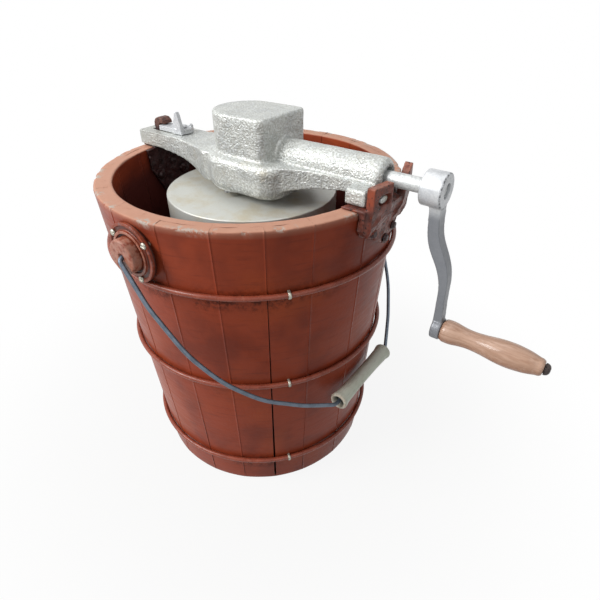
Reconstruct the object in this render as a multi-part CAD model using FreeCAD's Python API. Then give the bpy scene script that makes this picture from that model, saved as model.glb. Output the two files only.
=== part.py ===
import FreeCAD, Part
import os
from math import acos, atan2, cos, degrees, hypot, pi, radians, sin, tan

# A hand cranked ice cream freezer: a coopered wooden tub, a tin can inside it, and a cast gear
# frame across the rim whose crank turns the can one way and the dasher in it the other way.
# +Z is up, +X runs along the crank shaft towards the crank, and the bail swings about a line
# along Y. Every size below is taken from the tub's axis and the ground. The finished solids are
# moved so that the origin is the middle of the whole object's footprint.

# Tub, in millimetres
tub_axis = -68.5
tub_height = 290.0
tub_top_radius = 130.0
tub_foot_radius = 111.0
stave_thickness = 15.0
stave_edge = 1.6
groove_low, groove_high, groove_radius = 12.0, 24.0, 100.2
seam_angles = (-78.5, -61.0, -45.0, -30.0, -9.0, 12.0, 33.0, 54.0, 73.0, 92.0, 113.0, 134.0,
               155.0, 176.0, 198.0, 220.0, 241.0, 261.0)
drain_angle, drain_height, drain_radius = 102.5, 212.0, 7.0

# Wire hoops and their staples
hoop_heights = {"hoop_top": 237.4, "hoop_middle": 143.6, "hoop_bottom": 35.0}
hoop_wire_radius = 2.2
staple_angles = (-38.0, 82.0, 202.0)
staple_wall, staple_width = 1.1, 2.6

# Bail, its ears and its grip
bail_height = 262.0
bail_tilt = 40.0
bail_wire_radius = 1.75
bail_hole_radius = 2.1
bail_path = ((0, -129), (0, -142.8), (40, -144.4), (84, -139.5), (117, -127.5), (148, -107),
             (174, -78), (196.5, -47))
bail_bend_radii = (3.6, 90.0, 110.0, 110.0, 110.0, 110.0, 14.0)
ear_flange_radius, ear_flange_back, ear_flange_reach = 23.3, 128.8, 131.8
ear_rings = ((23.3, 20.9, 132.8), (17.6, 15.2, 133.9))
ear_boss_radius, ear_boss_reach, ear_mouth_radius = 13.4, 140.6, 3.4
ear_screw_circle, ear_screw_seat = 20.4, 3.3
ear_screw_angles = (33.0, 145.0, 286.0)
grip_length, grip_end_radius, grip_waist_radius, grip_bore_radius = 86.0, 8.1, 6.6, 4.0
grip_mouth_radius, grip_mouth_depth = 5.8, 7.0

# Crank shaft
shaft_height = 306.7
shaft_radius = 5.4
shaft_start, shaft_end = 13.0, 172.6
running_gap = 0.05

# Gear frame casting
case_radius, case_front, case_corner, case_top = 29.2, 38.4, 6.5, 338.0
body_radius, body_front, body_corner = 37.5, 54.0, 18.0
body_bottom, deck_height = 278.0, 306.0
cavity_radius, cavity_front, cavity_corner = 26.6, 33.6, 5.0
cavity_bottom, cavity_top = 281.0, 333.0
arm_top, arm_half_width = 305.0, 17.0
arm_unders = {-1: (292.0, 288.6), 1: (296.0, 290.6)}
arm_flares = {-1: ((74.0, 0.0), (50.0, 4.5), (28.0, 13.0)),
              1: ((86.0, 0.0), (68.0, 3.0), (48.0, 13.0))}
arm_end = -133.0
tunnel_radius, tunnel_end = 14.0, 131.0
bush_radius = 7.5
block_start, block_end, block_low = 111.5, 129.0, 292.0
block_sizes = {-1: (28.5, 304.5), 1: (24.0, 303.0)}
tongue_offsets, tongue_width, tongue_height, tongue_end = {-1: 18.6, 1: 17.0}, 10.0, 5.0, 139.0
tongue_level = 298.5
hook_slot = (-120.0, -101.5, 6.4)
keeper_radius, keeper_thickness = 34.0, 3.0
keeper_screw_circle, keeper_screw_radius = 30.5, 2.0

# Brackets on the tub's rim
bracket_depth = 6.0
foot_top = 292.0
plate_outlines = {1: ((23.5, 290.0), (23.5, 274.0), (18.0, 262.5), (10.0, 256.0), (3.0, 252.5),
                      (-13.0, 261.5), (-28.5, 269.5), (-32.5, 275.0), (-32.5, 290.0)),
                  -1: ((26.0, 290.0), (26.0, 269.0), (14.3, 245.0), (0.0, 243.0),
                       (-13.0, 246.0), (-26.0, 271.0), (-26.0, 290.0))}
plate_screws = {1: ((-8.0, 270.5), (5.5, 266.0), (0.3, 260.0)),
                -1: ((-6.9, 263.0), (7.2, 263.0), (0.5, 250.5))}
lug_plan = ((134.4, 8.7), (130.4, 30.0), (137.0, 31.2), (140.9, 9.8))
lug_fronts = {-1: ((8.0, 270.0), (32.0, 270.0), (30.6, 308.6), (9.2, 308.6)),
              1: ((8.0, 270.0), (24.8, 270.0), (24.8, 304.0), (24.4, 312.9), (22.8, 312.9),
                  (9.3, 303.4))}
web_half_width, web_top = 10.0, 293.0
slot_lengths, slot_height = {-1: 13.5, 1: 11.5}, 7.0

# Latch on the far end of the frame
latch_pivot = -84.0
latch_low, latch_high = 305.3, 309.8
latch_reach = 25.4
latch_tab_top = 325.0
hook_half_width = 5.5

# Crank arm and handle
hub_radius, hub_start, hub_end = 12.5, 158.5, 174.6
crank_centre_line = ((169.5, 300), (170.4, 290), (171.0, 282), (172.5, 273), (177.0, 262),
                     (182.2, 251), (185.3, 239), (186.0, 225), (186.5, 213), (186.9, 197))
arm_half_depths = (4.3, 4.2, 4.25, 4.5, 5.0, 4.4, 3.35, 3.1, 3.4, 4.0)
arm_widths = (5.8, 4.1)
crank_radius = 109.2
boss_radius, boss_start, boss_end = 9.1, 183.3, 191.0
handle_start, handle_end = 191.4, 265.6
handle_radii = ((1.2, 8.9), (4.6, 9.3), (9.0, 9.1), (13.6, 8.25), (19.6, 7.5), (26.0, 7.5),
                (33.0, 8.15), (40.0, 9.1), (46.0, 9.65), (52.0, 9.75), (58.0, 9.3),
                (64.0, 8.4), (69.6, 7.0), (74.2, 5.6))
handle_start_radius = 7.9
handle_pin_radius = 3.5
pin_head_radius, pin_head_start, pin_head_end = 4.6, 266.0, 270.0

# Bevel gears: the pinion on the crank drives two equal wheels that turn opposite ways
gear_module = 2.0
pinion_teeth, wheel_teeth = 12, 24
tooth_face = 8.0
pressure_angle = radians(20)
tooth_backlash = 0.35
pinion_addendum, wheel_addendum, dedendum = 1.8, 1.4, 2.5

# Can and dasher
can_radius, can_wall = 73.6, 1.2
can_low, can_high = 33.0, 268.0
lid_radius, lid_top, lid_sheet = 75.0, 272.0, 1.2
lid_skirt_low, lid_band_top = 250.0, 268.4
lid_boss_side, lid_boss_top = 16.8, 278.6
stem_radius, stem_gap = 6.0, 0.6
stem_square = 9.0
stem_low, stem_round_top, stem_top = 47.5, 312.0, 320.4
dasher_low, dasher_high = 50.0, 246.0
dasher_reach = 60.0
scraper_reach = 71.2
pivot_radius = 5.0


def vec(x, y, z):
    return FreeCAD.Vector(x, y, z)


up = vec(0, 0, 1)
along_x = vec(1, 0, 0)
along_y = vec(0, 1, 0)


def export(shape, name):
    """Move one sub-part to its place from the origin, write it, and say what it holds."""
    placed = shape.copy()
    placed.translate(vec(tub_axis, 0, 0))
    if not placed.isValid():
        print("not valid:", name)
    placed.exportStep("parts/" + name + ".step")
    print(name, "solids", len(placed.Solids), "volume", round(placed.Volume, 1))


def cylinder(radius, start, end, direction=up):
    """A cylinder between two points that lie along the given direction."""
    return Part.makeCylinder(radius, (end - start).Length, start, direction)


def upright(radius, low, high, x=0.0, y=0.0):
    return cylinder(radius, vec(x, y, low), vec(x, y, high))


def lengthwise(radius, start, end, y=0.0, z=shaft_height):
    return cylinder(radius, vec(start, y, z), vec(end, y, z), along_x)


def box(low, high):
    size = [b - a for a, b in zip(low, high)]
    return Part.makeBox(size[0], size[1], size[2], vec(*low))


def spun(profile, angle=360.0):
    """Turn an outline of (radius, height) points about the Z axis."""
    points = [vec(r, 0, h) for r, h in profile]
    face = Part.Face(Part.makePolygon(points + points[:1]))
    return face.revolve(vec(0, 0, 0), up, angle)


def turned(shape, degrees_about_z):
    copy = shape.copy()
    copy.rotate(vec(0, 0, 0), up, degrees_about_z)
    return copy


def laid_along_x(shape, z=shaft_height):
    """Turn a shape made about the Z axis so that its axis is the line of the shaft."""
    copy = shape.copy()
    copy.rotate(vec(0, 0, 0), along_y, 90)
    copy.translate(vec(0, 0, z))
    return copy


def rounded(shape, radius, picks):
    """Round the edges whose centre passes the given test."""
    edges = [e for e in shape.Edges if picks(e.CenterOfMass)]
    return shape.makeFillet(radius, edges) if edges else shape


def tub_radius(z):
    return tub_foot_radius + (tub_top_radius - tub_foot_radius) * z / tub_height


tub_taper = atan2(tub_top_radius - tub_foot_radius, tub_height)


def tub_cone(offset, low, high):
    """A solid cone that follows the outside of the tub at a distance."""
    return Part.makeCone(tub_radius(low) + offset, tub_radius(high) + offset, high - low,
                         vec(0, 0, low))


# Wooden tub

def stave(start, end):
    """One stave: the tub's wall turned through its share of the circle."""
    inner_low = tub_radius(groove_low) - stave_thickness
    inner_high = tub_radius(groove_high) - stave_thickness
    wall = [(tub_radius(0) - stave_thickness, 0), (tub_radius(0) - stave_edge, 0),
            (tub_radius(stave_edge), stave_edge),
            (tub_radius(tub_height - stave_edge), tub_height - stave_edge),
            (tub_top_radius - stave_edge, tub_height),
            (tub_top_radius - stave_thickness + stave_edge, tub_height),
            (tub_radius(tub_height - stave_edge) - stave_thickness, tub_height - stave_edge),
            (inner_high, groove_high), (groove_radius, groove_high),
            (groove_radius, groove_low), (inner_low, groove_low)]
    return turned(spun(wall, end - start), start)


def make_tub():
    drain = cylinder(drain_radius, vec(80, 0, drain_height), vec(150, 0, drain_height), along_x)
    drain = turned(drain, drain_angle)
    ear_holes = ear_screw_set(0)
    screw_holes = Part.makeCompound([ear_holes, turned(ear_holes, 180), bracket_screws(1, 0),
                                     bracket_screws(-1, 0)])
    ends = seam_angles[1:] + (seam_angles[0] + 360,)
    for number, (start, end) in enumerate(zip(seam_angles, ends), 1):
        wood = stave(start, end)
        if start < drain_angle < end:
            wood = wood.cut(drain)
        export(wood.cut(screw_holes), "tub_stave_%02d" % number)
    board = upright(groove_radius, groove_low, groove_high)
    export(board.cut(pivot_plate_shanks()), "tub_bottom")


def hoop_centre(z):
    return tub_radius(z) + hoop_wire_radius / cos(tub_taper)


def staple(z):
    """A wire staple: a bridge over the hoop with both legs against the wood."""
    middle = hoop_centre(z)
    half = staple_width / 2
    outer, inner = hoop_wire_radius + staple_wall, hoop_wire_radius + 0.05
    bridge = cylinder(outer, vec(middle, -half, z), vec(middle, half, z), along_y)
    bridge = bridge.fuse(box((middle - 8, -half, z - outer), (middle, half, z + outer)))
    space = cylinder(inner, vec(middle, -half, z), vec(middle, half, z), along_y)
    space = space.fuse(box((middle - 8, -half, z - inner), (middle, half, z + inner)))
    return bridge.cut(space).cut(tub_cone(0, z - 10, z + 10))


def make_hoops():
    staples = []
    for name, z in hoop_heights.items():
        export(Part.makeTorus(hoop_centre(z), hoop_wire_radius, vec(0, 0, z), up), name)
        one = staple(z)
        staples += [turned(one, angle) for angle in staple_angles]
    export(Part.makeCompound(staples), "hoop_staples")


# Bail ears

def ear():
    """A round cast ear on the -Y side, hollowed at the back to fit the tub's curve."""
    def disc(radius, reach):
        return cylinder(radius, vec(0, -reach, bail_height), vec(0, -100, bail_height), along_y)
    body = disc(ear_flange_radius, ear_flange_reach)
    for outside, inside, reach in ear_rings:
        body = body.fuse(disc(outside, reach).cut(disc(inside, reach + 1)))
    body = body.cut(disc(ear_flange_radius + 1, ear_flange_back))
    body = body.fuse(disc(ear_boss_radius, ear_boss_reach)).removeSplitter()
    body = rounded(body, 1.2, lambda c: c.y < 0.5 - ear_boss_reach)
    body = body.cut(tub_cone(0, 200, tub_height))
    hole = cylinder(bail_hole_radius, vec(0, -150, bail_height), vec(0, -100, bail_height),
                    along_y)
    mouth = Part.makeCone(ear_mouth_radius, bail_hole_radius, 2.0,
                          vec(0, -ear_boss_reach - 0.1, bail_height), along_y)
    z = hoop_heights["hoop_top"]
    hoop = Part.makeTorus(hoop_centre(z), hoop_wire_radius + 0.1, vec(0, 0, z), up)
    body = body.cut(hole).cut(mouth).cut(hoop).cut(ear_screw_set(0))
    for x, z in ear_screw_places():
        body = body.cut(cylinder(ear_screw_seat, vec(x, -140, z), vec(x, -ear_flange_reach, z),
                                 along_y))
    return body


def ear_screw_places():
    angles = [radians(angle) for angle in ear_screw_angles]
    return [(ear_screw_circle * cos(a), bail_height + ear_screw_circle * sin(a)) for a in angles]


def ear_screw_set(head):
    """Three screws through the flange; with no head only their shanks are made."""
    screws = []
    for x, z in ear_screw_places():
        shank = cylinder(1.5, vec(x, -ear_flange_reach, z), vec(x, -124, z), along_y)
        if head:
            face = -ear_flange_reach
            cap = cylinder(2.7, vec(x, face - 0.8, z), vec(x, face, z), along_y)
            dome = Part.makeCone(1.8, 2.7, 1.0, vec(x, face - 1.8, z), along_y)
            slot = box((x - 3.5, face - 2.5, z - 0.4), (x + 3.5, face - 1.2, z + 0.4))
            shank = shank.fuse([cap, dome]).cut(slot)
        screws.append(shank)
    return Part.makeCompound(screws)


def make_ears():
    front = ear()
    export(front, "bail_ear_front")
    export(turned(front, 180), "bail_ear_rear")
    screws = ear_screw_set(1)
    export(Part.makeCompound([screws, turned(screws, 180)]), "ear_screws")


# Brackets that hold the gear frame down

def shield(inner, outer, side):
    """A shield-shaped plate that lies between two cones, on the +X or -X side of the tub."""
    points = [vec(0, y, z) for y, z in plate_outlines[side]]
    slab = Part.Face(Part.makePolygon(points + points[:1])).extrude(vec(side * 160, 0, 0))
    return slab.common(tub_cone(outer, 230, 290)).cut(tub_cone(inner, 230, 290))


def lug(side):
    """An upright lug along the rim: its outline shows from the crank's end, and its lower end
    runs out onto the plate."""
    plan = [vec(x, side * y, 270) for x, y in lug_plan]
    front = [vec(120, side * y, z) for y, z in lug_fronts[side]]
    profile = [vec(x, -40, z) for x, z in ((120, 270), (134, 270), (142, 289), (142, 320),
                                          (120, 320))]
    body = Part.Face(Part.makePolygon(plan + plan[:1])).extrude(vec(0, 0, 50))
    body = body.common(Part.Face(Part.makePolygon(front + front[:1])).extrude(vec(30, 0, 0)))
    return body.common(Part.Face(Part.makePolygon(profile + profile[:1])).extrude(vec(0, 80, 0)))


def crank_side_bracket():
    plate = shield(-2, bracket_depth, 1)
    foot = upright(tub_top_radius + bracket_depth, tub_height, foot_top)
    foot = foot.cut(upright(tub_top_radius - 13, tub_height - 1, foot_top + 1))
    foot = foot.common(box((100, -33, tub_height), (140, 26, foot_top)))
    web = [vec(129.4, 0, web_top), vec(139.4, 0, web_top), vec(139.4, 0, 289),
           vec(133.6, 0, 272), vec(126, 0, 272)]
    web = Part.Face(Part.makePolygon(web + web[:1])).extrude(vec(0, 2 * web_half_width, 0))
    web.translate(vec(0, -web_half_width, 0))
    body = plate.fuse([foot, web, lug(1), lug(-1)]).removeSplitter()
    body = body.cut(tub_cone(0, 230, tub_height))
    for side, length in slot_lengths.items():
        body = body.cut(tongue(side, length, slot_height, 120, 150))
    return body.cut(bracket_screws(1, 1))


def latch_side_bracket():
    """The plate inside the tub, its foot on the rim, and the hook that the latch holds."""
    plate = shield(-stave_thickness - 5, -stave_thickness, -1)
    foot = upright(tub_top_radius - 2, tub_height, foot_top)
    foot = foot.cut(upright(tub_radius(tub_height) - stave_thickness - 5, tub_height - 1,
                            foot_top + 1))
    foot = foot.common(box((-140, -15, tub_height), (-100, 15, foot_top)))
    outline = [(-117, 291), (-117, 304), (-118.5, 307), (-118.3, 311), (-116, 314.5),
               (-112, 316.4), (-107.5, 316), (-104.2, 313.6), (-103.2, 310.6), (-110.6, 310.4),
               (-110.6, 291)]
    points = [vec(x, -hook_half_width, z) for x, z in outline]
    hook = Part.Face(Part.makePolygon(points + points[:1])).extrude(
        vec(0, 2 * hook_half_width, 0))
    return plate.fuse([foot, hook]).removeSplitter().cut(bracket_screws(-1, 1))


def bracket_screws(side, head):
    """Round headed screws through a bracket's plate into the staves."""
    screws = []
    for angle, z in plate_screws[side]:
        if side > 0:
            face = tub_radius(z) + bracket_depth - 0.3
            shank = lengthwise(2.0, face - 13, face, 0, z)
            cap = Part.makeCone(3.4, 2.2, 2.0, vec(face - 0.4, 0, z), along_x)
        else:
            face = tub_radius(z) - stave_thickness - 5 + 0.3
            shank = lengthwise(2.0, face, face + 13, 0, z)
            cap = Part.makeCone(2.6, 4.2, 2.0, vec(face - 1.6, 0, z), along_x)
        screw = shank.fuse(cap) if head else shank
        screws.append(turned(screw, angle if side > 0 else 180 + angle))
    return Part.makeCompound(screws)


def make_brackets():
    export(crank_side_bracket(), "crank_side_bracket")
    export(latch_side_bracket(), "latch_side_bracket")
    export(Part.makeCompound([bracket_screws(1, 1), bracket_screws(-1, 1)]), "bracket_screws")


# Gear frame

def d_plan(radius, front, corner, low, high):
    """An upright block, half round towards -X and square with rounded corners towards +X."""
    a = corner * (1 - cos(pi / 4))
    lines = [Part.Arc(vec(0, radius, 0), vec(-radius, 0, 0), vec(0, -radius, 0)).toShape(),
             Part.makeLine(vec(0, -radius, 0), vec(front - corner, -radius, 0)),
             Part.Arc(vec(front - corner, -radius, 0), vec(front - a, a - radius, 0),
                      vec(front, corner - radius, 0)).toShape(),
             Part.makeLine(vec(front, corner - radius, 0), vec(front, radius - corner, 0)),
             Part.Arc(vec(front, radius - corner, 0), vec(front - a, radius - a, 0),
                      vec(front - corner, radius, 0)).toShape(),
             Part.makeLine(vec(front - corner, radius, 0), vec(0, radius, 0))]
    block = Part.Face(Part.Wire(lines)).extrude(vec(0, 0, high - low))
    block.translate(vec(0, 0, low))
    return block


def arm_side_view(end, side):
    """An arm's outline from the side: flat on the rim, then arching down to the body."""
    wide = 60.0
    seat = side * 107.0
    bottom = vec(side * 34, 0, body_bottom + 2)
    under, middle = arm_unders[side]
    arch = Part.Arc(vec(seat, 0, under), vec(side * 74, 0, middle), bottom).toShape()
    tip = 4.0
    points = [bottom, vec(0, 0, body_bottom + 2), vec(0, 0, arm_top),
              vec(end - side * tip, 0, arm_top), vec(end, 0, arm_top - tip),
              vec(end, 0, under + 2), vec(end - side * 2, 0, under), vec(seat, 0, under)]
    lines = [Part.makeLine(a, b) for a, b in zip(points, points[1:])]
    solid = Part.Face(Part.Wire(Part.__sortEdges__([arch] + lines))).extrude(vec(0, wide, 0))
    solid.translate(vec(0, -wide / 2, 0))
    return solid


def arm_plan(end, side, corner):
    """The same arm from above: straight, then flaring in a curve where it meets the body."""
    w = arm_half_width
    inner_end = arm_flares[side][2]
    lines = []
    for hand in (1, -1):
        bend = [vec(side * x, hand * (w + spread), 0) for x, spread in arm_flares[side]]
        lines.append(Part.Arc(*bend).toShape())
        lines.append(Part.makeLine(bend[0], vec(end - side * corner, hand * w, 0)))
        lines.append(Part.Arc(vec(end - side * corner, hand * w, 0),
                              vec(end - side * corner * 0.29, hand * (w - corner * 0.29), 0),
                              vec(end, hand * (w - corner), 0)).toShape())
    lines.append(Part.makeLine(vec(end, w - corner, 0), vec(end, corner - w, 0)))
    for hand in (1, -1):
        lines.append(Part.makeLine(vec(side * inner_end[0], hand * (w + inner_end[1]), 0),
                                   vec(0, hand * 28, 0)))
    lines.append(Part.makeLine(vec(0, 28, 0), vec(0, -28, 0)))
    solid = Part.Face(Part.Wire(Part.__sortEdges__(lines))).extrude(vec(0, 0, 60))
    solid.translate(vec(0, 0, 260))
    return solid


def tongue(side, width, height, start, end):
    """A flat bar with round edges that lies along X at the height of the bracket's slots."""
    flat = (width - height) / 2
    y = side * tongue_offsets[side]
    bar = box((start, y - flat, tongue_level - height / 2),
              (end, y + flat, tongue_level + height / 2))
    rounds = [lengthwise(height / 2, start, end, y + s * flat, tongue_level) for s in (1, -1)]
    return bar.fuse(rounds).removeSplitter()


def gear_frame():
    body = d_plan(body_radius, body_front, body_corner, body_bottom, deck_height)
    body = rounded(body, 7.0, lambda c: c.z < body_bottom + 0.1)
    body = rounded(body, 6.5, lambda c: c.z > deck_height - 0.1)
    case = d_plan(case_radius, case_front, case_corner, deck_height - 6, case_top)
    case = rounded(case, 2.2, lambda c: c.z > case_top - 0.1)
    left = arm_side_view(arm_end, -1).common(arm_plan(arm_end, -1, 8.0))
    right = arm_side_view(block_end, 1).common(arm_plan(block_end, 1, 3.0))
    parts = []
    for side, (reach, high) in block_sizes.items():
        near, far = sorted((0, side * reach))
        block = box((block_start, near, block_low), (block_end, far, high))
        parts.append(rounded(block, 2.6, lambda c: c.z > high - 0.1 or abs(c.y) > reach - 0.1))
    tunnel = lengthwise(tunnel_radius, 30, tunnel_end)
    tunnel = rounded(tunnel, 5.5, lambda c: c.x > tunnel_end - 0.1)
    tunnel = tunnel.cut(box((20, -20, 280), (140, 20, 300)))
    casting = body.fuse([case, left, right, tunnel] + parts).removeSplitter()
    for side in (1, -1):
        casting = casting.fuse(tongue(side, tongue_width, tongue_height, block_end - 4,
                                      tongue_end))
    casting = casting.cut(d_plan(cavity_radius, cavity_front, cavity_corner, cavity_bottom,
                                 cavity_top))
    casting = casting.cut(upright(keeper_radius, body_bottom - 1, body_bottom + keeper_thickness))
    casting = casting.cut(lengthwise(bush_radius, 30, 135))
    casting = casting.cut(upright(4.0, cavity_top - 1, cavity_top + 3))
    low, high, half = hook_slot
    casting = casting.cut(box((low, -half, 280), (high, half, 320)))
    casting = casting.cut(upright(3.0, 280, 320, latch_pivot))
    return casting.cut(keeper_screws(0)).removeSplitter()


def keeper_screws(head):
    screws = []
    for angle in (90, 180, 270):
        x = keeper_screw_circle * cos(radians(angle))
        y = keeper_screw_circle * sin(radians(angle))
        screw = upright(keeper_screw_radius, body_bottom, body_bottom + 11, x, y)
        if head:
            screw = screw.fuse(upright(3.6, body_bottom - 2, body_bottom, x, y))
            slot = box((x - 4, y - 0.5, body_bottom - 2.5), (x + 4, y + 0.5, body_bottom - 1.2))
            screw = screw.cut(slot)
        screws.append(screw)
    return Part.makeCompound(screws)


def make_gear_frame():
    export(gear_frame(), "gear_frame")
    pin = upright(4.0, 321.8, cavity_top + 3)
    export(pin, "gear_axle_pin")
    hub = 14.0 + running_gap
    plate = upright(keeper_radius, body_bottom, body_bottom + keeper_thickness)
    plate = plate.cut(upright(hub, body_bottom - 1, body_bottom + 5)).cut(keeper_screws(0))
    export(plate, "keeper_plate")
    export(keeper_screws(1), "keeper_screws")
    bore = shaft_radius + running_gap
    for name, start, end in (("inner_bush", 34.5, 52.0), ("outer_bush", 98.0, 115.5)):
        export(lengthwise(bush_radius, start, end).cut(lengthwise(bore, start, end)), name)


# Latch

def latch_lever():
    """A swivelling cast lever: a nose that lies under the hook, and an upright thumb tab."""
    thick = latch_high - latch_low
    disc = upright(9.5, latch_low, latch_high, latch_pivot)
    nose = box((latch_pivot - 30, -8, latch_low), (latch_pivot, 6, latch_low + thick))
    nose = nose.common(upright(latch_reach, latch_low, latch_high, latch_pivot))
    x = latch_pivot
    tab = [vec(x - 4, -9, latch_low), vec(x + 8.5, -9, latch_low), vec(x + 7.5, -9, 313),
           vec(x + 4.6, -9, latch_tab_top - 1.5), vec(x + 3.6, -9, latch_tab_top),
           vec(x + 2.4, -9, latch_tab_top), vec(x + 1.4, -9, latch_tab_top - 1.5),
           vec(x - 2.6, -9, 313)]
    tab = Part.Face(Part.makePolygon(tab + tab[:1])).extrude(vec(0, 4, 0))
    wing = [vec(x + 1, 5, latch_low), vec(x + 7, 5, latch_low), vec(x + 6, 5, 311.5),
            vec(x + 4, 5, 312.5)]
    wing = Part.Face(Part.makePolygon(wing + wing[:1])).extrude(vec(0, 3, 0))
    lever = disc.fuse([nose, tab, wing]).removeSplitter()
    return lever.cut(upright(3.0 + running_gap, 300, 312, latch_pivot))


def latch_rivet():
    shank = upright(3.0, 299, latch_high + 0.4, latch_pivot)
    head = Part.makeCone(4.8, 3.2, 1.6, vec(latch_pivot, 0, latch_high + 0.4))
    return shank.fuse(head)


def make_latch():
    export(latch_lever(), "latch_lever")
    export(latch_rivet(), "latch_rivet")


# Crank

def crank_arm():
    """Hub, bent arm and lower boss: a side outline cut to a taper that shows from the front."""
    left = [vec(x - d, 0, z) for (x, z), d in zip(crank_centre_line, arm_half_depths)]
    right = [vec(x + d, 0, z) for (x, z), d in zip(crank_centre_line, arm_half_depths)]
    edges = []
    for row in (left, right):
        curve = Part.BSplineCurve()
        curve.interpolate(row)
        edges.append(curve.toShape())
    edges += [Part.makeLine(left[0], right[0]), Part.makeLine(left[-1], right[-1])]
    side = Part.Face(Part.Wire(Part.__sortEdges__(edges))).extrude(vec(0, 30, 0))
    side.translate(vec(0, -15, 0))
    wide, narrow = arm_widths
    front = [vec(150, -wide, 302), vec(150, wide, 302), vec(150, narrow, 207),
             vec(150, narrow, 197), vec(150, -narrow, 197), vec(150, -narrow, 207)]
    front = Part.Face(Part.makePolygon(front + front[:1])).extrude(vec(60, 0, 0))
    arm = side.common(front)
    hub = lengthwise(hub_radius, hub_start, hub_end)
    hub = rounded(hub, 1.5, lambda c: True)
    boss_level = shaft_height - crank_radius
    boss = lengthwise(boss_radius, boss_start, boss_end, 0, boss_level)
    boss = rounded(boss, 1.2, lambda c: True)
    whole = arm.fuse([hub, boss]).removeSplitter()
    whole = whole.cut(lengthwise(shaft_radius, hub_start - 1, hub_end + 1))
    return whole.cut(lengthwise(handle_pin_radius, boss_start - 1, boss_end + 1, 0, boss_level))


def crank_grip():
    """A turned wooden handle that spins on its pin."""
    start, end = handle_start, handle_end
    curve = Part.BSplineCurve()
    outside = [vec(radius, 0, start + along) for along, radius in handle_radii]
    curve.interpolate(outside)
    bore = handle_pin_radius + running_gap
    corners = [outside[-1], vec(bore, 0, end), vec(bore, 0, start),
               vec(handle_start_radius, 0, start), outside[0]]
    edges = [curve.toShape()] + [Part.makeLine(a, b) for a, b in zip(corners, corners[1:])]
    solid = Part.Face(Part.Wire(Part.__sortEdges__(edges))).revolve(vec(0, 0, 0), up, 360)
    return laid_along_x(solid, shaft_height - crank_radius)


def make_crank():
    level = shaft_height - crank_radius
    shaft = lengthwise(shaft_radius, shaft_start, shaft_end)
    shaft = rounded(shaft, 0.8, lambda c: True)
    pin = upright(1.25, shaft_height - 9.4, shaft_height + 9.4, 28.6)
    export(shaft.cut(pin), "crank_shaft")
    export(pin, "pinion_pin")
    export(pinion().cut(pin), "drive_pinion")
    export(crank_arm(), "crank_arm")
    export(crank_grip(), "crank_grip")
    rivet = lengthwise(handle_pin_radius, boss_start, pin_head_start, 0, level)
    head = lengthwise(pin_head_radius, pin_head_start, pin_head_end, 0, level)
    head = rounded(head, 2.2, lambda c: c.x > pin_head_end - 0.1)
    export(rivet.fuse(head).removeSplitter(), "handle_pin")


# Bevel gears

def tooth_outline(teeth, cone, addendum):
    """One tooth's half widths at several depths, on the flattened back cone of the gear."""
    pitch = gear_module * teeth / 2
    virtual = pitch / cos(cone)
    base = virtual * cos(pressure_angle)
    half_pitch = (pi * gear_module / 2 - tooth_backlash) / (2 * virtual)

    def involute(angle):
        return tan(angle) - angle

    points = []
    for share in (0.0, 0.3, 0.55, 0.8, 1.0):
        depth = -dedendum - 0.5 + share * (dedendum + 0.5 + addendum)
        radius = virtual + depth
        angle = acos(min(1.0, base / radius))
        half = half_pitch + involute(pressure_angle) - involute(angle)
        points.append((radius * sin(half), radius * cos(half) - virtual))
    return points


def bevel_teeth(teeth, cone, addendum, phase):
    """Teeth about the Z axis that narrow towards an apex at the origin, opening along +Z."""
    distance = gear_module * teeth / 2 / sin(cone)
    near = (distance - tooth_face) / distance
    flank = tooth_outline(teeth, cone, addendum)
    outline = [(-u, v) for u, v in flank] + [(u, v) for u, v in reversed(flank)]
    rows = []
    for scale in (1.0, near):
        points = []
        for u, v in outline:
            reach = distance * sin(cone) + v * cos(cone)
            depth = distance * cos(cone) - v * sin(cone)
            points.append(vec(reach * scale, u * scale, depth * scale))
        rows.append(Part.makePolygon(points + points[:1]))
    tooth = Part.makeLoft(rows, True, True)
    return [turned(tooth, phase + 360.0 * n / teeth) for n in range(teeth)]


def wheel(blank_profile):
    cone = atan2(wheel_teeth, pinion_teeth)
    half_tooth = 180.0 / wheel_teeth
    return spun(blank_profile).fuse(bevel_teeth(wheel_teeth, cone, wheel_addendum, half_tooth))


def root_points(teeth, mate):
    """Where the foot of the teeth lies at the wide and the narrow end."""
    cone = atan2(teeth, mate)
    pitch = gear_module * teeth / 2
    distance = pitch / sin(cone)
    near = (distance - tooth_face) / distance
    reach = pitch - dedendum * cos(cone)
    depth = distance * cos(cone) + dedendum * sin(cone)
    return (reach, depth), (reach * near, depth * near)


def pinion():
    far, close = root_points(pinion_teeth, wheel_teeth)
    profile = [(shaft_radius, close[1] - 0.6), (close[0], close[1] - 0.6), close, far,
               (far[0], 31.6), (shaft_radius, 31.6)]
    cone = atan2(pinion_teeth, wheel_teeth)
    solid = spun(profile).fuse(bevel_teeth(pinion_teeth, cone, pinion_addendum, 0))
    solid = solid.removeSplitter()
    return laid_along_x(solid)


def can_gear():
    """The lower wheel: its hub runs in the keeper plate and drives the can's lid."""
    far, close = root_points(wheel_teeth, pinion_teeth)
    bore = stem_radius + stem_gap
    foot = shaft_height - 274.0
    collar = shaft_height - (body_bottom + keeper_thickness) - 0.1
    profile = [(bore, close[1]), close, far, (far[0], 17.5), (17.0, 19.0), (17.0, collar),
               (14.0, collar), (14.0, foot), (bore, foot)]
    solid = wheel(profile)
    solid.rotate(vec(0, 0, 0), along_x, 180)
    solid.translate(vec(0, 0, shaft_height))
    side = lid_boss_side / 2 + 0.1
    socket = box((-side, -side, 270), (side, side, lid_boss_top + 0.4))
    return solid.cut(socket).removeSplitter()


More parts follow.
